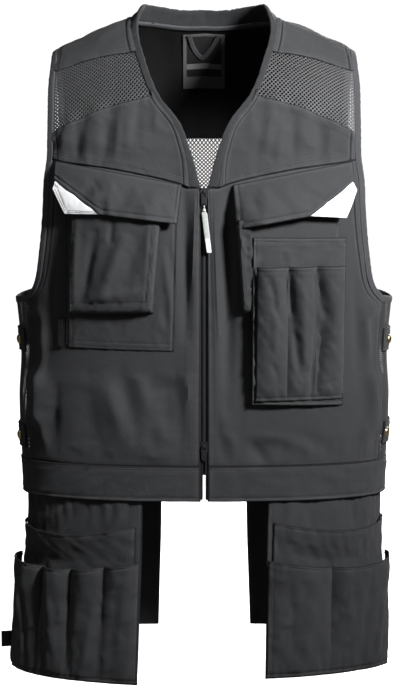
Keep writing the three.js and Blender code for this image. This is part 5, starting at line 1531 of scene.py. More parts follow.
turns = np.linspace(0, 2 * np.pi, 28, endpoint=False)
ring = np.stack([0 * turns, np.cos(turns), np.sin(turns)], -1)
centre = ring * 1.45 + np.array([0, 0, END_BAR])
corners = np.stack(
    [centre + ring * a * 0.42 + np.array([b * 0.75, 0, 0]) for a, b in ((-1, -1), (1, -1), (1, 1), (-1, 1))],
    1
)
cord_cloth = thread_material("grey_cord", (0.3, 0.31, 0.31), 0.7)
piece, *_ = bar_piece(
    "pull_loop", hang_from_slider(corners), cord_cloth, closed=True, power=0.9, turns=12,
    body="upper_pull"
)
across, polar = np.meshgrid(
    np.linspace(0, 2 * np.pi, 28, endpoint=False), np.linspace(0, np.pi, 18)[1:-1]
)
swell = 2.3 + 0.35 * np.cos(2 * across + 3.2 * polar)
knot = np.stack([
    swell * np.sin(polar) * np.cos(across), 0.72 * swell * np.sin(polar) * np.sin(across),
    1.12 * swell * np.cos(polar)
], -1)
knot = knot + np.array([0, 0, END_BAR - 1.6 - 2.6])
at = np.arange(knot.shape[0] * 28).reshape(-1, 28)
at = np.hstack([at, at[:, :1]])
tips = np.array([knot[0].mean(0) + [0, 0, 0.1], knot[-1].mean(0) - [0, 0, 0.1]])
points = hang_from_slider(np.vstack([knot.reshape(-1, 3), tips]))
top_tip, low_tip = np.full(28, len(points) - 2), np.full(28, len(points) - 1)
blocks = [
    np.stack([at[:-1, :-1], at[:-1, 1:], at[1:, 1:], at[1:, :-1]], -1).reshape(-1, 4),
    np.stack([top_tip, at[0, 1:], at[0, :-1]], -1), np.stack([low_tip, at[-1, :-1], at[-1, 1:]], -1),
]
make_piece("pull_knot", points, facing_out(points, blocks), cord_cloth, body="upper_pull", sharp=3.2)

# RIGHT CHEST POCKETS
# A wide flat pocket of doubled twill, and a smaller one with a gusset on top of it, whose front stands
# off at its inner side. Their edges are turned in and stitched down; their mouths are under the flap.
PATCH_ROWS = [(0.135, 0.404), (0.692, 0.386), (0.702, 0.682), (0.151, 0.6865)]
GUSSET_ROWS = [(0.212, 0.412), (0.668, 0.391), (0.686, 0.611), (0.252, 0.606)]
BELLOWS_ROWS = np.array([(0, 0), (0.05, 1), (0.35, 0.92), (0.65, 0.7), (0.95, 0.4), (1, 0)])
PATCH_DEEP = 2.5
RIGHT_DEEP = 14
LAID = 0.6 + 1.6


def four_corners(rows):
    """Straight edges between the inner top, outer top, outer low and inner low corners."""
    in_top, out_top, out_low, in_low = (np.array(place) for place in front_places(rows))
    return patch(
        line(in_top, out_top), line(in_low, out_low), line(in_top, in_low), line(out_top, out_low)
    )


def patch_lift(grid):
    (x0, z0), (x1, _), _, (_, z3) = front_places(PATCH_ROWS)
    across, fall = (np.abs(grid.x) - x0) / (x1 - x0), (grid.z - z0) / (z3 - z0)
    return PATCH_DEEP * hump(across) * np.clip(1.2 - 1.2 * fall, 0, 1) ** 0.5


def seat(d, deep=0.6):
    """A turned-in edge, pulled down by its stitches and rounded over its last millimetre."""
    return -deep * (1 - rise(d, 2, 7)) + rolled(d, 0.8, 1.2)


HEM = (0, 0.3, 0.9, 1.8, 3, 4.5, 6, 8)
PATCH_CREASES = [
    (-60, -300, -100, -400, 9, 1.2),
    (-165, -330, -150, -410, 9, 1.4),
    (-51, -300, -42, -380, 3.5, 2.6),
    (-44, -290, -38, -350, 3.5, -2.2),
    (-52, -360, -48, -400, 4, -1.6),
]
grid = cloth_grid(
    front_view, four_corners(PATCH_ROWS), -1, 3.2, left=HEM, right=HEM, top=(0, 3), bottom=HEM
)
lift = LAID + patch_lift(grid) + drape(grid.x, grid.z, grid.rear)
lift += fold_field(grid.x, grid.z, PATCH_CREASES, 0.8)
lift += (
    0.4 * ripple(grid.x, grid.z, 30, 151) + pucker(grid.bottom, grid.x, 14, 0.6, 152)
    + pucker(grid.right, grid.z, 12, 0.4, 153)
)
lift += seat(grid.left) + seat(grid.right) + seat(grid.bottom)
lift += groove(grid.bottom, 8) + groove(grid.right, 3) + groove(grid.right, 8) + groove(grid.left, 3)
cloth = cloth_piece(
    "flat_pocket", grid, lift, twill, ["flat_pocket_right"]
)
stitch_along("flat_pocket_stitches", cloth, right=(3, 8), bottom=(8,), left=(3,))

GUSSET_CREASES = [
    (-158, -262, -163, -360, 5, 3.0),
    (-135, -278, -152, -366, 6, -4.4),
    (-100, -284, -127, -354, 8, 5.0),
    (-82, -286, -98, -338, 9, -3.4),
    (-146, -360, -74, -350, 8, 3.2),
    (-112, -256, -116, -288, 4, -3.0),
    (-68, -270, -70, -335, 5, 2.0),
]
grid = cloth_grid(
    front_view, four_corners(GUSSET_ROWS), -1, 2.6,
    left=(0, 0.5, 1.2, 2.2, 3.5, 5, 6.5, 8, 9.5, 11, 12.5), right=HEM, top=(0, 3),
    bottom=(0, 0.5, 1.2, 2.2, 3.5, 5, 6.5, 8, 10, 12, 14),
)
bellows = np.interp(grid.u, BELLOWS_ROWS[:, 0], BELLOWS_ROWS[:, 1])
wall = np.sqrt(np.clip(1 - (1 - np.clip(grid.left / 6.5, 0, 1)) ** 2, 0, 1))
bellows = np.where(grid.u < 0.3, wall * np.interp(grid.u, [0, 0.35], [1.02, 0.92]), bellows)
floor_wall = np.sqrt(np.clip(1 - (1 - np.clip(grid.bottom / 8, 0, 1)) ** 2, 0, 1))
deep = RIGHT_DEEP * bellows * floor_wall
lift = LAID + 2.2 + patch_lift(grid) + deep + drape(grid.x, grid.z, grid.rear)
lift += fold_field(
    grid.x, grid.z, GUSSET_CREASES, 0.5
) * rise(grid.left, 4, 16) * rise(grid.bottom, 6, 22)
lift += 0.25 * ripple(grid.x, grid.z, 26, 154) * rise(grid.left, 3, 12)
lift += 1.1 * ripple(
    grid.z, grid.left * 2, 13, 155
) * np.exp(-((grid.left - 5) / 5) ** 2) * rise(grid.bottom, 0, 16)
lift += pucker(grid.right, grid.z, 9, 0.8, 156, 7) + pucker(grid.bottom - 14, grid.x, 12, 0.35, 157)
lift += seat(grid.right, 1.0) + groove(grid.right, 3) + groove(grid.right, 8) + groove(grid.bottom, 14)
lift += (
    groove(grid.left, 11)
    + fold_field(grid.x, grid.z, [(-71, -376, -60, -358, 2.6, -3.6), (-78, -371, -66, -350, 3, 1.6)])
)
cloth = cloth_piece(
    "gusset_pocket", grid, lift, twill, ["gusset_pocket_right"]
)
stitch_along("gusset_pocket_stitches", cloth, right=(3, 8), bottom=(14,), left=(11,))

# LEFT CHEST POCKETS
# A deep pocket with a soft gusset at its inner side. A panel is sewn over its front, and a folded
# length of twill stitched onto that makes three upright sleeves for tools.
DEEP_ROWS = [(0.157, 0.418), (0.682, 0.403), (0.678, 0.79), (0.232, 0.785)]
TOOL_ROWS = [(0.238, 0.452), (0.718, 0.455), (0.706, 0.802), (0.238, 0.795)]
SLEEVES = [(0.256, 0.41), (0.416, 0.546), (0.558, 0.7)]
SLEEVE_TOP = -0.511 * BODY_LENGTH
SLEEVE_LOW = -0.788 * BODY_LENGTH
SLEEVE_DEEP = 13
LEFT_DEEP = 24


def deep_lift(x, z):
    (x0, z0), (x1, _), _, (_, z3) = front_places(DEEP_ROWS)
    fall = np.clip((z - z0) / (z3 - z0), 0, 1)
    return LEFT_DEEP * (1 - 0.8 * (x - x0) / (x1 - x0)) * (1 - 0.95 * fall)


POUCH_ROWS = [*DEEP_ROWS[:2], (0.68, 0.607), (0.19, 0.607)]
grid = cloth_grid(
    front_view, four_corners(POUCH_ROWS), 1, 2.8,
    left=(0, 0.5, 1.5, 3, 5, 7, 9, 11, 13, 15, 17, 19), right=HEM, top=(0, 3),
    bottom=(0, 0.5, 1.2, 2.2, 3.5, 5, 7),
)
wall = rise(grid.left, -2, 3.6) * np.clip(grid.right / 7, 0, 1) * np.clip(grid.bottom / 6, 0, 1) ** 0.5
lift = LAID + deep_lift(grid.x, grid.z) * wall + drape(grid.x, grid.z, grid.rear)
near_wall = np.exp(-((grid.left - 11) / 7) ** 2) * (1 - 0.5 * grid.v)
lift += near_wall * (
    1.7 * ripple(grid.z, grid.left * 1.5, 20, 161) + 0.9 * ripple(grid.z, grid.left, 8, 162)
)
lift += seat(grid.right, 0.8) + groove(grid.right, 4.5)
cloth = cloth_piece(
    "deep_pocket", grid, lift, twill, ["gusset_pocket_left"]
)
stitch_along("deep_pocket_stitches", cloth, right=(4.5,))


def tool_lift(x, z):
    (x0, z0), (out, _), _, (_, z3) = front_places(TOOL_ROWS)
    fall, across = (z - z0) / (z3 - z0), (x - x0) / (out - x0)
    low_corner = 6 * np.clip(fall, 0, 1) ** 1.5 * np.clip(1 - across, 0, 1)
    return LAID + (deep_lift(x, z) + 2.2 + low_corner) * rise(out - x, -2, 14)


TOOL_CREASES = [
    (70, -290, 66, -400, 5, -1.6), (104, -300, 108, -330, 5, 1.5), (150, -290, 170, -420, 6, 1.5)
]
grid = cloth_grid(
    front_view, four_corners(TOOL_ROWS), 1, 2.8, left=HEM, right=(0, 0.3, 0.9, 1.8, 3, 5, 7, 9),
    top=HEM, bottom=HEM,
)
lift = tool_lift(grid.x, grid.z) + drape(grid.x, grid.z, grid.rear)
lift += (
    fold_field(grid.x, grid.z, TOOL_CREASES, 0.7)
    + 0.7 * ripple(grid.x, grid.z, 28, 163) * rise(grid.right, 2, 12)
)
lift += pucker(grid.right, grid.z, 11, 0.7, 164) + seat(grid.right, 0.8) + seat(grid.bottom, 0.8)
lift += (
    rolled(grid.left, 1.3, 1.4) + rolled(grid.top, 1.3, 1.4)
    + 1.2 * ripple(grid.z, grid.left, 45, 165) * (1 - rise(grid.left, 0, 20))
)
lift += (
    groove(grid.top, 6) + groove(grid.right, 3) + groove(grid.right, 7) + groove(grid.bottom, 4.5)
    + groove(grid.left, 3)
)
cloth = cloth_piece(
    "tool_panel", grid, lift, twill, ["tool_panel_left"]
)
stitch_along("tool_panel_stitches", cloth, top=(6,), bottom=(4.5,), left=(3,), right=(3, 7))

SLEEVE_CREASES = [
    (101, -322, 110, -390, 5, -7.0),
    (110, -390, 119, -455, 5, -6.4),
    (119, -340, 125, -440, 5, 2.4),
    (137, -328, 149, -378, 6, -8.0),
    (149, -378, 135, -486, 7, -8.0),
    (160, -350, 166, -470, 7, 2.4),
    (78, -330, 92, -385, 4, -2.8),
    (92, -340, 84, -440, 5, 2.0),
    (80, -420, 96, -486, 5, -2.0),
    (128, -440, 120, -490, 5, -2.2),
]
first, last = SLEEVES[0][0] * HALF_CHEST, SLEEVES[-1][1] * HALF_CHEST
sleeve_fill = lambda u, v: np.stack(
    [first + u * (last - first), SLEEVE_TOP + v * (SLEEVE_LOW - SLEEVE_TOP)], -1
)
grid = cloth_grid(
    front_view, sleeve_fill, 1, 2.2, left=(0, 0.4, 1), right=(0, 0.4, 1),
    top=(0, 0.3, 0.9, 1.8, 3, 4.5, 6), bottom=HEM
)
bulge = sum(hump((grid.x - a * HALF_CHEST) / ((b - a) * HALF_CHEST), 0.62) for a, b in SLEEVES)
sunk = 1 - np.clip(bulge * 3, 0, 1)
lift = (
    tool_lift(grid.x, grid.z) + 2.2
    + SLEEVE_DEEP * bulge * (1 - 0.6 * grid.v) * rise(grid.bottom, -4, 16)
)
lift += (
    fold_field(grid.x, grid.z, SLEEVE_CREASES, 0.6) + 0.7 * ripple(grid.x, grid.z, 22, 171)
) * (1 - sunk) * rise(grid.top, 0, 14)
lift += (
    rolled(grid.top, 1.2, 1.3) + groove(grid.top, 6) + seat(grid.bottom, 0.6) + groove(grid.bottom, 4.5)
)
lift += drape(grid.x, grid.z, grid.rear)
cloth = cloth_piece(
    "tool_sleeves", grid, lift, twill, ["tool_sleeves_left"]
)
rows = [stitch_row(mark_line(cloth, "top", 6)), stitch_row(mark_line(cloth, "bottom", 4.5))]
for seam_x in (SLEEVES[0][1] + 0.003, SLEEVES[1][1] + 0.006):
    column = np.abs(grid.x[0] - seam_x * HALF_CHEST).argmin()
    rows.append(stitch_row((cloth.face[:, column], cloth.out[:, column])))
sew("sleeve_stitches", rows, dark_thread)

# FLAPS
# Doubled twill flaps, sewn above the pockets and folded down over their mouths, so they stand off
# the body. A tab of pale retroreflective cloth closes the cut outer corner of each.
FLAPS = {
    "right": [(0.111, 0.346), (0.75, 0.299), (0.742, 0.338), (0.503, 0.408), (0.132, 0.426)],
    "left": [(0.143, 0.347), (0.748, 0.3), (0.735, 0.341), (0.505, 0.411), (0.157, 0.437)],
}
TABS = {"right": [(0.744, 0.357), (0.677, 0.407)], "left": [(0.742, 0.359), (0.684, 0.415)]}
FLAP_STAND = {"right": 27, "left": 35}
FLAP_DROP = 58
flap_curve = smooth_table([0, 0.14, 0.25, 0.6, 1], [0.45, 0.86, 1, 0.8, 0.5])
FLAP_CREASES = {
    "right": [
        (-107, -214, -146, -240, 7, 2.8),
        (-128, -208, -152, -230, 6, -2.6),
        (-116, -232, -114, -254, 4, 2.2),
        (-92, -222, -104, -248, 7, -2.0),
        (-60, -222, -75, -262, 9, 1.8),
        (-44, -232, -56, -250, 7, -1.4),
    ],
    "left": [
        (71, -214, 80, -244, 5, 2.6),
        (58, -222, 66, -254, 6, -2.2),
        (128, -226, 148, -238, 3.5, -2.4),
        (95, -222, 122, -257, 9, 2.4),
        (112, -212, 134, -246, 6, -2.0),
        (150, -210, 172, -232, 7, 2.2),
        (46, -236, 50, -262, 5, 1.6),
    ],
}


def pale_cloth_material(name, color):
    """Retroreflective cloth: fine glass beads in a pale binder, a little crazed where it bends."""
    material, tree, shader = new_material(name)
    place = add_node(tree, "TexCoord").outputs["Object"]
    beads = add_node(tree, "TexVoronoi", (), {"Vector": place, "Scale": 3000}).outputs["Distance"]
    clouds = noise(tree, place, 60, 3)
    tone = ranged(tree, clouds, 0.3, 0.7, 0.93, 1.04)
    toned = add_node(tree, "VectorMath", {"operation": "SCALE"}, {0: color, 3: tone})
    tree.links.new(toned.outputs[0], shader.inputs["Base Color"])
    raise_surface(tree, shader, beads, 0.00008, 0.6)
    shader.inputs["Roughness"].default_value = 0.38
    return material


pale_cloth = pale_cloth_material("pale_reflective", (0.9, 0.905, 0.92))
grey_thread = thread_material("grey_thread", (0.05, 0.05, 0.053), 0.6)
for side, hand in SIDES:
    in_top, out_top, cut_out, cut_low, in_low = (np.array(place) for place in front_places(FLAPS[side]))
    tab_out, tab_low = (np.array(place) for place in front_places(TABS[side]))

    def flap_lift(x, z, in_top=in_top, out_top=out_top, side=side):
        across = np.clip((np.abs(x) - in_top[0]) / (out_top[0] - in_top[0]), 0, 1)
        fall = np.clip((in_top[1] + across * (out_top[1] - in_top[1]) - z) / FLAP_DROP, 0, 1)
        return 0.6 + FLAP_STAND[side] * flap_curve(across) * np.sin(np.pi / 2 * fall)

    low_edge = joined(line(in_low, cut_low), line(cut_low, cut_out), 5 / 9)
    flap_fill = patch(line(in_top, out_top), low_edge, line(in_top, in_low), line(out_top, cut_out))
    grid = cloth_grid(
        front_view, flap_fill, hand, 2.8, left=HEM, right=(0, 0.4, 1.2, 3),
        top=(0, 0.5, 1.5, 3, 4.5), bottom=HEM,
    )
    lift = 1.6 + flap_lift(grid.x, grid.z) + drape(grid.x, grid.z, grid.rear)
    loose = rise(grid.top, 4, 20)
    lift += (
        fold_field(grid.x, grid.z, FLAP_CREASES[side], 0.6) * loose
        + 0.7 * ripple(grid.x, grid.z, 34, 181 + hand) * loose
    )
    lift += (
        pucker(grid.bottom, grid.x, 13, 0.5, 183 + hand) + pucker(grid.left, grid.z, 12, 0.5, 185 + hand)
    )
    lift += rolled(grid.bottom, 1.4, 1.4) + rolled(grid.left, 1.4, 1.4) + rolled(grid.right, 1.2, 1.2)
    lift += groove(grid.bottom, 6, 1.0) + groove(grid.left, 6, 1.0)
    cloth = cloth_piece(
        f"pocket_flap_{side}", grid, lift, twill, [f"flap_{side}"],
        2.2
    )
    stitch_along(f"flap_stitches_{side}", cloth, bottom=(6,), left=(6,))
    shift = (tab_out + tab_low) / 2 - (cut_out + cut_low) / 2
    tuck_in = shift / np.linalg.norm(shift) * 2.0
    tab_fill = patch(
        line(cut_low - tuck_in, cut_out - tuck_in), line(tab_low, tab_out),
        line(cut_low - tuck_in, tab_low), line(cut_out - tuck_in, tab_out),
    )
    grid = cloth_grid(
        front_view, tab_fill, hand, 1.8, left=(0, 0.3, 0.8, 1.6, 3, 6), right=(0, 0.3, 0.8, 1.6, 3, 6),
        top=(0, 1, 2.4),
        bottom=(0, 0.3, 0.8, 1.6, 3, 6),
    )
    lift = 1.6 - 0.2 + flap_lift(grid.x, grid.z) + 0.25 * ripple(grid.x, grid.z, 24, 187 + hand)
    lift += (
        -1.5 * (1 - rise(grid.top, 1, 4)) + rolled(grid.bottom, 0.8, 1) + rolled(grid.left, 0.8, 1)
        + rolled(grid.right, 0.8, 1)
    )
    lift += groove(grid.bottom, 3, 0.25) + groove(grid.bottom, 6, 0.25)
    cloth = cloth_piece(
        f"pale_tab_{side}", grid, lift, pale_cloth,
        [f"bright_tab_{side}"], 1.5
    )
    rows = []
    for mark, skip in ((3, 4), (6, 5)):
        rows.append(stitch_row(mark_line(cloth, "bottom", mark, skip, -skip), 2.0, 1.95, 0.8, 0.15))
        rows.append(stitch_row(mark_line(cloth, "left", mark, 3, -skip), 2.0, 1.95, 0.8, 0.15))
        rows.append(stitch_row(mark_line(cloth, "right", mark, 3, -skip), 2.0, 1.95, 0.8, 0.15))
    sew(f"tab_stitches_{side}", rows, grey_thread)

# SIDE STRAPS
# Two tabs of doubled twill span each side over the mesh, sewn to the back panel and fastened on the
# front one. A domed brass press stud holds each.
STRAP_WIDTH = 30
STRAP_START, STRAP_END = 0.79, 1.25
STRAPS = [
    ("upper_right", -1, 0.675, 0.885), ("lower_right", -1, 0.878, 0.885),
    ("upper_left", 1, 0.675, 0.885), ("lower_left", 1, 0.87, 0.84),
]
STUD_RADIUS = 6.2
STUD_ROWS = [
    (0, 1.02), (0.25, 1.0), (0.5, 0.93), (0.7, 0.8), (0.84, 0.62), (0.92, 0.42), (0.94, 0.3),
    (0.97, 0.27),
    (1.0, 0.2), (1.0, 0.1), (0.97, 0.04), (0.9, 0.0), (0, 0.0),
]
STUD_TALL = 3.6


def brass_material(name, color, tarnish):
    """Pressed brass: brushed round by polishing, darker in clouds where it has tarnished."""
    material, tree, shader = new_material(name)
    place = add_node(tree, "TexCoord").outputs["Object"]
    clouds = noise(tree, place, 210, 4)
    spread_out = ranged(tree, clouds, 0.42, 0.68, 0, 0.8)
    mixed = mix_colors(tree, spread_out, color, tarnish)
    tree.links.new(mixed, shader.inputs["Base Color"])
    rough = ranged(tree, clouds, 0.3, 0.7, 0.2, 0.45)
    tree.links.new(rough, shader.inputs["Roughness"])
    raise_surface(tree, shader, clouds, 0.00004)
    shader.inputs["Metallic"].default_value = 1.0
    return material


stud_brass = brass_material("stud_brass", (0.72, 0.56, 0.26), (0.3, 0.2, 0.08))
for name, hand, level, stud_at in STRAPS:
    start, end = STRAP_START * np.pi / 2, STRAP_END * np.pi / 2
    middle = -level * BODY_LENGTH
    strap_fill = lambda u, v: np.stack([start + u * (end - start), middle + STRAP_WIDTH * (0.5 - v)], -1)
    grid = cloth_grid(
        round_body, strap_fill, hand, 3.0, left=HEM, right=HEM[:6], top=HEM[:6], bottom=HEM[:6]
    )
    lift = (
        0.8 + 1.6 + drape(grid.x, grid.z, grid.rear)
        + 0.3 * ripple(grid.places[..., 0] * 240, grid.z, 26, 190 + hand)
    )
    for edge in (grid.left, grid.top, grid.bottom):
        lift += rolled(edge, 1.3, 1.3)
    lift += groove(grid.left, 4.5) + groove(grid.top, 3) + groove(grid.bottom, 3)
    cloth = cloth_piece(f"strap_{name}", grid, lift, twill,
                        ["side_strap_{}_{}".format(*name.split("_"))], 2.0)
    stitch_along(f"strap_stitches_{name}", cloth, left=(4.5,), top=(3,), bottom=(3,))
    point, normal = body_frame(round_body, np.array([[stud_at * np.pi / 2, middle]]), hand)
    base, axis = point[0] + normal[0] * (0.8 + 1.6 + 0.15), normal[0]
    first_way = unit(np.cross(axis, [0, 0, 1]))
    second_way = np.cross(axis, first_way)
    turns = np.linspace(0, 2 * np.pi, 40, endpoint=False)
    radius, height = np.array(STUD_ROWS[1:-1]).T
    around_axis = np.cos(turns)[:, None] * first_way + np.sin(turns)[:, None] * second_way
    rings = base + STUD_RADIUS * radius[:, None, None] * around_axis + STUD_TALL * height[:, None, None] * axis
    points = np.vstack([rings.reshape(-1, 3), [base + axis * STUD_TALL * 1.02, base]])
    at = np.arange(len(radius) * 40).reshape(-1, 40)
    at = np.hstack([at, at[:, :1]])
    blocks = [
        np.stack([at[:-1, :-1], at[:-1, 1:], at[1:, 1:], at[1:, :-1]], -1).reshape(-1, 4),
        np.stack([np.full(40, len(points) - 2), at[0, 1:], at[0, :-1]], -1),
        np.stack([np.full(40, len(points) - 1), at[-1, :-1], at[-1, 1:]], -1),
    ]
    stud = make_piece(f"stud_{name}", points, facing_out(points, blocks), stud_brass, sharp=0.7)
    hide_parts("press_stud_{}_{}".format(*name.split("_")))

# HOLSTERS
# Hanging pockets of doubled twill, sewn in behind the waistband: a panel, a plain pocket, and below
# it one stitched into channels. The back pair are plain and have the one pocket only.
HANG_FACE = -3.5
HANG_TOP = 20 - BODY_LENGTH
MOUTH_SAG = 12
HIGH_DEEP = 12
LOW_DEEP = 19
HOLSTERS = {
    "front_right": dict(hand=-1, inner=(0.173, 0.171), outer=(0.88, 0.89), high=1.054, mouth=1.127, low=1.386, tilt=0.012, seams=[0.19, 0.39, 0.62], bulge=1.1),
    "front_left": dict(hand=1, inner=(0.184, 0.154), outer=(0.875, 0.75), high=1.045, mouth=1.123, low=1.372, tilt=0.01, seams=[0.38], bulge=0.55),
    "back_right": dict(hand=-1, inner=(1.883, 1.883), outer=(1.28, 1.28), high=0, mouth=1.11, low=1.333, tilt=0, seams=[0.5], bulge=0.45),
    "back_left": dict(hand=1, inner=(1.883, 1.88), outer=(1.28, 1.28), high=0, mouth=1.11, low=1.333, tilt=0, seams=[0.5], bulge=0.45),
}
# turns a share of the way round into millimetres of cloth
HOLSTER_RADIUS = 205
# soft creases: from (share across, z) to (share across, z), width mm, height mm
HOLSTER_FOLDS = {
    "front_right": [
        (0.1, -626, 0.16, -665, 6, 2.4),
        (0.28, -628, 0.5, -660, 6, -3.0),
        (0.36, -624, 0.62, -650, 6, 2.6),
        (0.55, -664, 0.72, -672, 8, -3.2),
        (0.85, -628, 0.8, -672, 6, -2.2),
        (0.3, -690, 0.5, -712, 8, -2.4),
        (0.1, -720, 0.13, -850, 6, -2.2),
        (0.2, -720, 0.28, -850, 6, 2.6),
        (0.4, -716, 0.36, -850, 5, -3.0),
        (0.62, -712, 0.54, -850, 5, -3.4),
        (0.55, -730, 0.44, -850, 6, 2.4),
        (0.82, -708, 0.7, -850, 5, -3.2),
        (0.75, -720, 0.95, -850, 6, 2.6),
        (0.94, -712, 0.84, -800, 4, -2.2),
    ],
    "front_left": [
        (0.12, -626, 0.1, -672, 5, 2.8),
        (0.22, -624, 0.26, -665, 5, -2.8),
        (0.4, -626, 0.44, -664, 6, 2.4),
        (0.55, -626, 0.6, -664, 6, -2.6),
        (0.75, -624, 0.7, -660, 6, 2.4),
        (0.9, -630, 0.94, -680, 6, -2.0),
        (0.15, -690, 0.35, -704, 7, -2.4),
        (0.37, -706, 0.39, -810, 6, -6.0),
        (0.45, -712, 0.5, -790, 7, 2.6),
        (0.26, -720, 0.2, -850, 8, 2.2),
        (0.1, -720, 0.14, -820, 5, -2.4),
        (0.66, -716, 0.62, -850, 9, -2.4),
        (0.82, -720, 0.76, -850, 8, 2.4),
        (0.3, -820, 0.34, -850, 5, -2.0),
    ],
    "back_right": [(0.3, -640, 0.4, -800, 9, 2.0), (0.75, -640, 0.7, -800, 9, -2.0)],
    "back_left": [(0.3, -640, 0.36, -800, 9, -2.0), (0.72, -640, 0.76, -800, 9, 2.0)],
}


def hang_fill(shape, top, low, inset):
    """Places from the inner edge to the outer one: the inner follows a line and the outer one a
    parabola down the holster."""
    bottom = -shape["low"] * BODY_LENGTH

    def fill(u, v):
        z = top(u) + v * (low(u) - top(u))
        fall = (z - HANG_TOP) / (bottom - HANG_TOP)
        inner = shape["inner"][0] + fall * (shape["inner"][1] - shape["inner"][0])
        outer = shape["outer"][0] + fall**2 * (shape["outer"][1] - shape["outer"][0])
        share = inset + u * (1 - 2 * inset)
        return np.stack([(inner + share * (outer - inner)) * np.pi / 2, z], -1)

    return fill


for name, shape in HOLSTERS.items():
    hand, seed = shape["hand"], 200 + 10 * list(HOLSTERS).index(name)
    wide = abs(shape["outer"][0] - shape["inner"][0]) * np.pi / 2 * HOLSTER_RADIUS
    folds = [(a * wide, za, b * wide, zb, w, h) for a, za, b, zb, w, h in HOLSTER_FOLDS[name]]
    bottom = lambda u: -BODY_LENGTH * (shape["low"] - shape["tilt"] * u)
    high = lambda u: -BODY_LENGTH * shape["high"] - MOUTH_SAG * hump(u, 1)
    mouth = lambda u: -BODY_LENGTH * shape["mouth"] - MOUTH_SAG * hump(u, 1)
    node = "{}_holster_{}".format(*name.split("_"))
    grid = cloth_grid(
        round_body, hang_fill(shape, lambda u: HANG_TOP + 0 * u, bottom, 0), hand, 3.6,
        left=HEM, right=HEM, top=(0, 3), bottom=HEM[:6],
    )
    lift = HANG_FACE + fold_field(grid.u * wide, grid.z, folds, 0.5) * 0.8
    lift += (
        1.2 * ripple(grid.u * wide, 0 * grid.z, 16, seed) * rise(grid.z, -665, -625)
        + 0.5 * ripple(grid.u * wide, grid.z, 40, seed + 1)
    )
    lift = np.minimum(lift, HANG_FACE + 1.0 + 3.0 * rise(-grid.z, 622, 640))
    lift += (
        rolled(grid.left, 1.0, 1.2) + rolled(grid.right, 1.0, 1.2) + groove(grid.left, 3)
        + groove(grid.left, 6) + groove(grid.right, 3)
    )
    cloth = cloth_piece(
        f"holster_{name}", grid, lift, twill,
        [f"{node}_panel"], 1.6
    )
    stitch_along(f"holster_stitches_{name}", cloth, left=(3, 6), right=(3,))
    if shape["high"]:
        grid = cloth_grid(
            round_body, hang_fill(shape, high, lambda u: mouth(u) - 12, 0.03), hand, 2.8,
            left=HEM[:6], right=HEM[:6], top=HEM[:7], bottom=(0, 3),
        )
        stand = 0.6 + 1.6 + HIGH_DEEP * hump(grid.u) * np.maximum(0.08, np.clip(1 - grid.v / 0.7, 0, 1))
        lift = HANG_FACE + 0.6 + stand + fold_field(grid.u * wide, grid.z, folds, 0.5) * 0.6
        lift += (
            0.7 * ripple(grid.u * wide, grid.z, 24, seed + 2) + rolled(grid.top, 1.0, 1.3)
            + groove(grid.top, 4.5)
        )
        lift += seat(grid.left) + seat(grid.right)
        cloth = cloth_piece(
            f"holster_high_{name}", grid, lift, twill,
            [f"{node}_high_pocket"]
        )
        stitch_along(f"holster_high_stitches_{name}", cloth, top=(4.5,))
    grid = cloth_grid(
        round_body, hang_fill(shape, mouth, lambda u: bottom(u) + 1, 0.004), hand, 2.6,
        left=HEM[:7], right=HEM[:7], top=HEM[:7], bottom=HEM[:7],
    )
    marks = np.array([0, *shape["seams"], 1])
    held = np.clip(np.searchsorted(marks, grid.u, side="right") - 1, 0, len(marks) - 2)
    span = marks[held + 1] - marks[held]
    channel = hump((grid.u - marks[held]) / span) * np.minimum(1, span * shape["bulge"] / 0.3)
    over = (1.6 + 1.44) * np.clip((0.3 - grid.v) / 0.18, 0, 1) * (shape["high"] > 0)
    lift = (
        HANG_FACE + 0.6 + 1.6 + over
        + LOW_DEEP * channel * (1 - grid.v) ** 0.6 * rise(grid.bottom, -3, 10)
    )
    lift += fold_field(grid.u * wide, grid.z, folds, 0.5) * (0.3 + 0.7 * np.clip(channel * 1.5, 0, 1))
    lift += (
        0.8 * ripple(grid.u * wide, grid.z * 0.5, 26, seed + 3)
        + pucker(grid.bottom, grid.u * wide, 14, 0.8, seed + 4)
    )
    lift += (
        rolled(grid.top, 1.2, 1.4) + groove(grid.top, 4.5) + seat(grid.left) + seat(grid.right)
        + seat(grid.bottom) + groove(grid.bottom, 4.5) + groove(grid.left, 4.5)
    )
    cloth = cloth_piece(
        f"holster_low_{name}", grid, lift, twill,
        [f"{node}_low_pocket"]
    )
    rows = [stitch_row(mark_line(cloth, edge, 4.5)) for edge in ("top", "bottom", "left")]
    for seam in shape["seams"]:
        column = np.abs(grid.u[0] - seam).argmin()
        rows.append(stitch_row((cloth.face[:, column], cloth.out[:, column])))
    sew(f"holster_low_stitches_{name}", rows, dark_thread)

# SIDE TAGS
# Two small folded tags, left bare: one caught in the outer edge of the flat pocket, the other in the
# outer edge of the right front holster, where it sticks out.
TAG_ROWS = [(0.706, 0.622), (0.742, 0.622), (0.742, 0.682), (0.706, 0.682)]
TAG_REACH = 14
TAG_TALL = 21
TAG_Z = -1.316 * BODY_LENGTH
grid = cloth_grid(
    front_view, four_corners(TAG_ROWS), -1, 1.5, left=(0, 0.4), right=(0, 0.4), top=(0, 0.4),
    bottom=(0, 0.4)
)
lift = LAID + 0.2 + 0.15 * ripple(grid.x, grid.z, 14, 251)
black_tape = cloth_material("black_tape", (0.013, 0.013, 0.014), 0.55, 3000, 0.6, 0.0004)
cloth_piece(
    "pocket_edge_tag", grid, lift, black_tape, ["pocket_tag"], 0.9
)

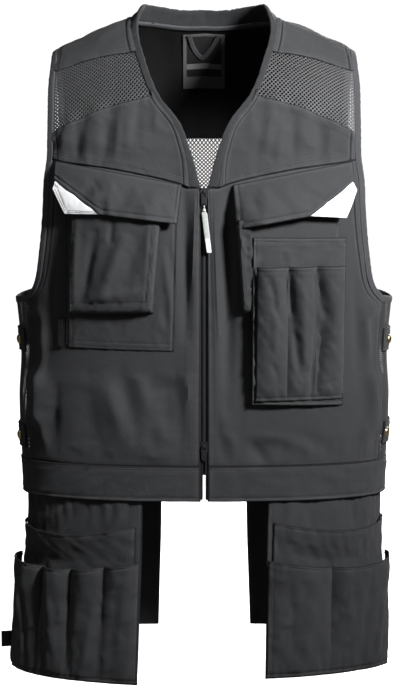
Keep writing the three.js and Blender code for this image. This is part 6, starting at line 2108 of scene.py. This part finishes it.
shape = HOLSTERS["front_right"]
tag_place = hang_fill(
    shape, lambda u: TAG_Z + 0 * u, lambda u: TAG_Z - 1 + 0 * u, 0
)(np.array([0.985]), np.array([0.0]))
point, normal = body_frame(round_body, tag_place, -1)
root, out_way = point[0] + normal[0] * 1.6, unit(normal[0] * [1, 1, 0])
beside = np.array([-out_way[1], out_way[0], 0])


def tag_chart(places):
    """A flat tag that stands out of the holster's edge, with a slight wave along its reach."""
    reach, level = places[..., 0:1], places[..., 1:2]
    wave = 0.5 * np.sin(reach / 3.2 + level / 14)
    return root + out_way * reach + beside * wave + np.array([0, 0, 1]) * level


tag_fill = lambda u, v: np.stack([u * TAG_REACH, TAG_TALL * (0.5 - v)], -1)
grid = cloth_grid(
    tag_chart, tag_fill, 1, 1.2, left=(0, 0.4), right=(0, 0.4), top=(0, 0.4), bottom=(0, 0.4)
)
cloth_piece(
    "holster_edge_tag", grid, 0.5 + 0 * grid.x, black_tape,
    ["holster_tag"], 0.9
)

# FLOOR, LIGHT AND CAMERA
# A plain pale floor under the vest, a main light at the wearer's left above the chest, weak ones
# above, at the right and by the camera, one behind, and an even white surround that lights little.
# The camera stands as the photograph's did. The lights' powers are in watts, their spreads in degrees.
def plain_material(name, color, roughness):
    material, tree, shader = new_material(name)
    place = add_node(tree, "TexCoord").outputs["Object"]
    mottle = noise(tree, place, 3, 2)
    near = tuple(0.985 * c for c in color)
    mixed = mix_colors(tree, mottle, near, color)
    tree.links.new(mixed, shader.inputs["Base Color"])
    shader.inputs["Roughness"].default_value = roughness
    return material


FLOOR_Z = -0.88
floor_mesh = bpy.data.meshes.new("floor")
floor_mesh.from_pydata(
    [(x, y, FLOOR_Z) for x, y in ((-9, -6), (9, -6), (9, 14), (-9, 14))], [], [(0, 1, 2, 3)]
)
pale_floor = plain_material("pale_floor", (0.93, 0.93, 0.93), 0.9)
lit_paper = pale_floor.node_tree.nodes["Principled BSDF"]
direct = add_node(pale_floor.node_tree, "LightPath").outputs["Is Camera Ray"]
glow = maths(pale_floor.node_tree, "MULTIPLY", direct, 1.1)
shade = ranged(pale_floor.node_tree, direct, 0, 1, 0.14, 0.92)
paper = add_node(pale_floor.node_tree, "CombineColor", (), {0: shade, 1: shade, 2: shade}).outputs[0]
pale_floor.node_tree.links.new(paper, lit_paper.inputs["Base Color"])
lit_paper.inputs["Emission Color"].default_value = (1, 1, 1, 1)
pale_floor.node_tree.links.new(glow, lit_paper.inputs["Emission Strength"])
floor_mesh.materials.append(pale_floor)
floor = bpy.data.objects.new("floor", floor_mesh)
bpy.context.scene.collection.objects.link(floor)

LOOK_AT = Vector((-0.0053, 0, -0.43))
CHEST_AT = Vector((0, -0.1, -0.08))
for name, place, aim, size, power, spread_turns in (
    ("key", (0.92, -1.1, 0.4), CHEST_AT, 0.33, 16.5, 95),
    ("overhead", (-0.45, -0.45, 1.2), LOOK_AT, 0.6, 3.2, 180),
    ("fill", (0.6, -2.8, 0.3), LOOK_AT, 1.4, 0.9, 180),
    ("side", (-1.15, -0.95, -0.2), LOOK_AT, 0.7, 0.7, 180),
    ("back", (0.9, 2.6, 0.35), LOOK_AT, 1.4, 100, 180),
):
    light = bpy.data.lights.new(name, "AREA")
    light.shape = "DISK"
    light.size = size
    light.energy = power
    light.spread = np.radians(spread_turns)
    lamp = bpy.data.objects.new(name, light)
    lamp.location = place
    lamp.rotation_euler = (aim - lamp.location).to_track_quat("-Z", "Y").to_euler()
    bpy.context.scene.collection.objects.link(lamp)

world = bpy.data.worlds.new("studio")
world.use_nodes = True
tree = world.node_tree
surround = tree.nodes["Background"]
seen = add_node(tree, "LightPath").outputs["Is Camera Ray"]
strength = ranged(tree, seen, 0, 1, 0.02, 1.05)
surround.inputs["Color"].default_value = (1, 1, 1, 1)
tree.links.new(strength, surround.inputs["Strength"])
bpy.context.scene.world = world
bpy.context.scene.view_settings.view_transform = "Standard"

camera = bpy.data.cameras.new("camera")
camera.sensor_width = 36
camera.lens = 126.84
eye = bpy.data.objects.new("camera", camera)
eye.location = (-0.0053, -3.1825, -0.0955)
eye.rotation_euler = (LOOK_AT - eye.location).to_track_quat("-Z", "Y").to_euler()
bpy.context.scene.collection.objects.link(eye)
bpy.context.scene.camera = eye
